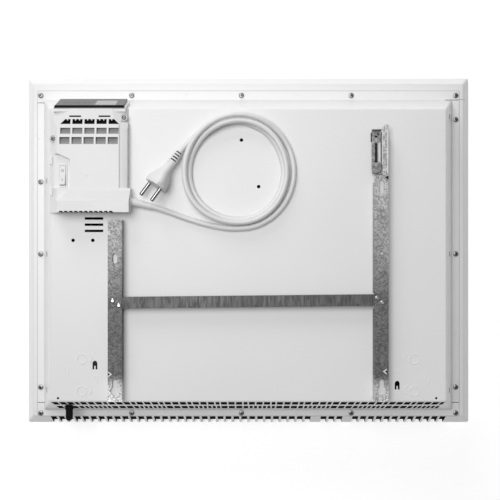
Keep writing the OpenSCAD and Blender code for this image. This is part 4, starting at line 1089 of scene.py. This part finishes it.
class HEATER_OT_bracket(Piece):
    """Galvanised wall bracket with its rivets, pivots and release latch"""

    bl_idname = "heater.bracket"
    bl_label = "Wall bracket"

    def build(self, chosen):
        base = chosen.finish.galvanised
        dress(galvanised(), "left_rail", "right_rail", "pivot_lugs")
        dress(zinc("galvanised_bar", [c * 0.4 for c in base], stretch=(1.0, 0.15, 1.0)),
              "crossbar")
        dress(zinc("dull_zinc", [c * 0.9 for c in base]), "release_latch", "latch_carrier")
        dress(bright_zinc(), "bracket_rivets", "pivot_pins", "latch_spring")
        dress(screw_zinc(), "latch_studs")
        soften("left_rail", "right_rail", "crossbar", "release_latch", "latch_carrier",
               "pivot_lugs", width=0.25 * MM)
        self.painted_latch_windows()
        self.rail_tab_highlights()
        self.paint_light_behind_rails()

    def paint_light_behind_rails(self):
        """Painted light: pale patches behind the rails' keyholes and their other slots and holes,
        which stand in for the lit pan.
        """
        half = 6 * MM
        light_patches = []
        for side, y0, y1 in ((-1, -171.5, -147.5), (1, -171.5, -147.5), (-1, -20, 0),
                             (1, -9, 3), (1, 64, 86)):
            x = side * RAIL_X
            light_patches.append(box(x - half, x + half, y0 * MM, y1 * MM, 84.3 * MM, 84.7 * MM))
        piece("keyhole_painted_light", *joined(light_patches), white_plastic(), "bracket", "white_plastic")

    def painted_latch_windows(self):
        """Painted light and painted shade seen through the latch's two windows: a pale strip stands
        in for the lit pan, and a dark strip beside it for the shade of the latch's fold.
        """
        pale = box_mm(152.9, 156.6, 103.6, 128, 80.2, 80.8)
        dark = box_mm(149.3, 152.7, 103.6, 126.6, 80.2, 80.8)
        piece("painted_latch_windows", *pale, white_plastic(), "bracket", "white_plastic")
        piece("latch_painted_shade", *dark, painted_shade(), "bracket", "black_plastic")

    def rail_tab_highlights(self):
        """Small tabs cut from the rails' edges and thin strips on their folded edges, in painted
        highlight, and painted shade in the notches.
        """
        top = RAIL_TOP
        tabs, notches = [], []
        for x, y, way in ((-164, -145.7, 1), (162.4, -142.4, -1)):
            tab = in_mm([(x, y - 3.4), (x + way * 4.6, y), (x, y + 3.4)])
            notch = in_mm([(x, y - 1.7), (x + way * 2.4, y), (x, y + 1.7)])
            tabs.append(prism(tab, top, top + 0.5 * MM))
            notches.append(prism(notch, top + 0.2 * MM, top + 0.6 * MM))
        for x0, x1, y0, y1 in ((163.1, 164.1, 90, 141), (156.9, 157.6, 100, 140)):
            tabs.append(box(x0 * MM, x1 * MM, y0 * MM, y1 * MM, top, top + 0.3 * MM))
        nick = in_mm([(164.4, 82.4), (160.4, 85), (164.4, 87.6)])
        notches.append(prism(nick, top, top + 0.4 * MM))
        bright = material("painted_edge_highlight", (0.85, 0.85, 0.85), shade=0.1, patch=200.0, rough=0.4)
        piece("rail_tab_highlights", *joined(tabs), bright, "bracket", "zinc_screw")
        piece("rail_notch_shade", *joined(notches), painted_shade(), "bracket", "black_plastic")


class HEATER_OT_inside(Piece):
    """Finishes of the element, the board and the other pieces inside, and of the sensor"""

    bl_idname = "heater.inside"
    bl_label = "Inside"

    def build(self, chosen):
        plain = material("plain_sheet", (0.55, 0.55, 0.54), shade=0.12, patch=14.0, rough=0.35,
                         metal=0.9, grain=500.0, depth=0.01 * MM, stretch=(1, 8, 1))
        dress(plain, "element_brackets", "baffle", "element_rod")
        dress(material("mill_aluminium", (0.72, 0.72, 0.72), shade=0.1, patch=20.0, rough=0.32,
                       metal=1.0, grain=400.0, depth=0.01 * MM, stretch=(0.1, 1, 1)),
              "element_fins")
        dress(material("copper_winding", (0.55, 0.27, 0.08), shade=0.3, patch=300.0, rough=0.35,
                       metal=0.7, grain=900.0), "power_choke")
        dress(black_plastic(), "thermal_cutout", "capacitors", "room_sensor", "sensor_grommet")
        for node, name, base, darker, patch, rough in (
            ("element_bushes", "ceramic", (0.78, 0.74, 0.66), 0.06, 90.0, 0.6),
            ("circuit_board", "solder_mask", (0.01, 0.12, 0.04), 0.3, 120.0, 0.3),
            ("relay", "relay_case", (0.04, 0.12, 0.34), 0.1, 60.0, 0.35),
            ("element_wire", "grey_sleeve", (0.05, 0.05, 0.05), 0.2, 200.0, 0.6),
            ("cutout_wire", "blue_sleeve", (0.02, 0.08, 0.36), 0.2, 200.0, 0.6),
        ):
            dress(material(name, base, darker, patch, rough), node)


class HEATER_PT_pieces(bpy.types.Panel):
    """Lists the heater's pieces in the sidebar"""

    bl_label = "Panel heater"
    bl_space_type = "VIEW_3D"
    bl_region_type = "UI"
    bl_category = "Heater"

    def draw(self, context):
        for step in STEPS:
            self.layout.operator(step.bl_idname)
        for group in ("finish", "sheet", "lead", "studio"):
            chosen = getattr(context.scene.heater, group)
            column = self.layout.box().column()
            for name in chosen.bl_rna.properties.keys():
                if name not in ("rna_type", "name"):
                    column.prop(chosen, name)


GROUPS = (HeaterFinish, HeaterSheet, HeaterLead, HeaterStudio, HeaterSettings)
STEPS = (
    HEATER_OT_studio, HEATER_OT_lead, HEATER_OT_shell, HEATER_OT_pan, HEATER_OT_screws,
    HEATER_OT_cassette, HEATER_OT_bracket, HEATER_OT_inside,
)


def register():
    for item in (*GROUPS, *STEPS, HEATER_PT_pieces):
        bpy.utils.register_class(item)
    bpy.types.Scene.heater = PointerProperty(type=HeaterSettings)


def unregister():
    del bpy.types.Scene.heater
    for item in reversed((*GROUPS, *STEPS, HEATER_PT_pieces)):
        bpy.utils.unregister_class(item)


def main():
    """Builds everything."""
    register()
    bpy.ops.heater.studio()
    bpy.ops.heater.lead()
    bpy.ops.heater.shell()
    bpy.ops.heater.pan()
    bpy.ops.heater.screws()
    bpy.ops.heater.cassette()
    bpy.ops.heater.bracket()
    bpy.ops.heater.inside()


if __name__ == "__main__":
    main()
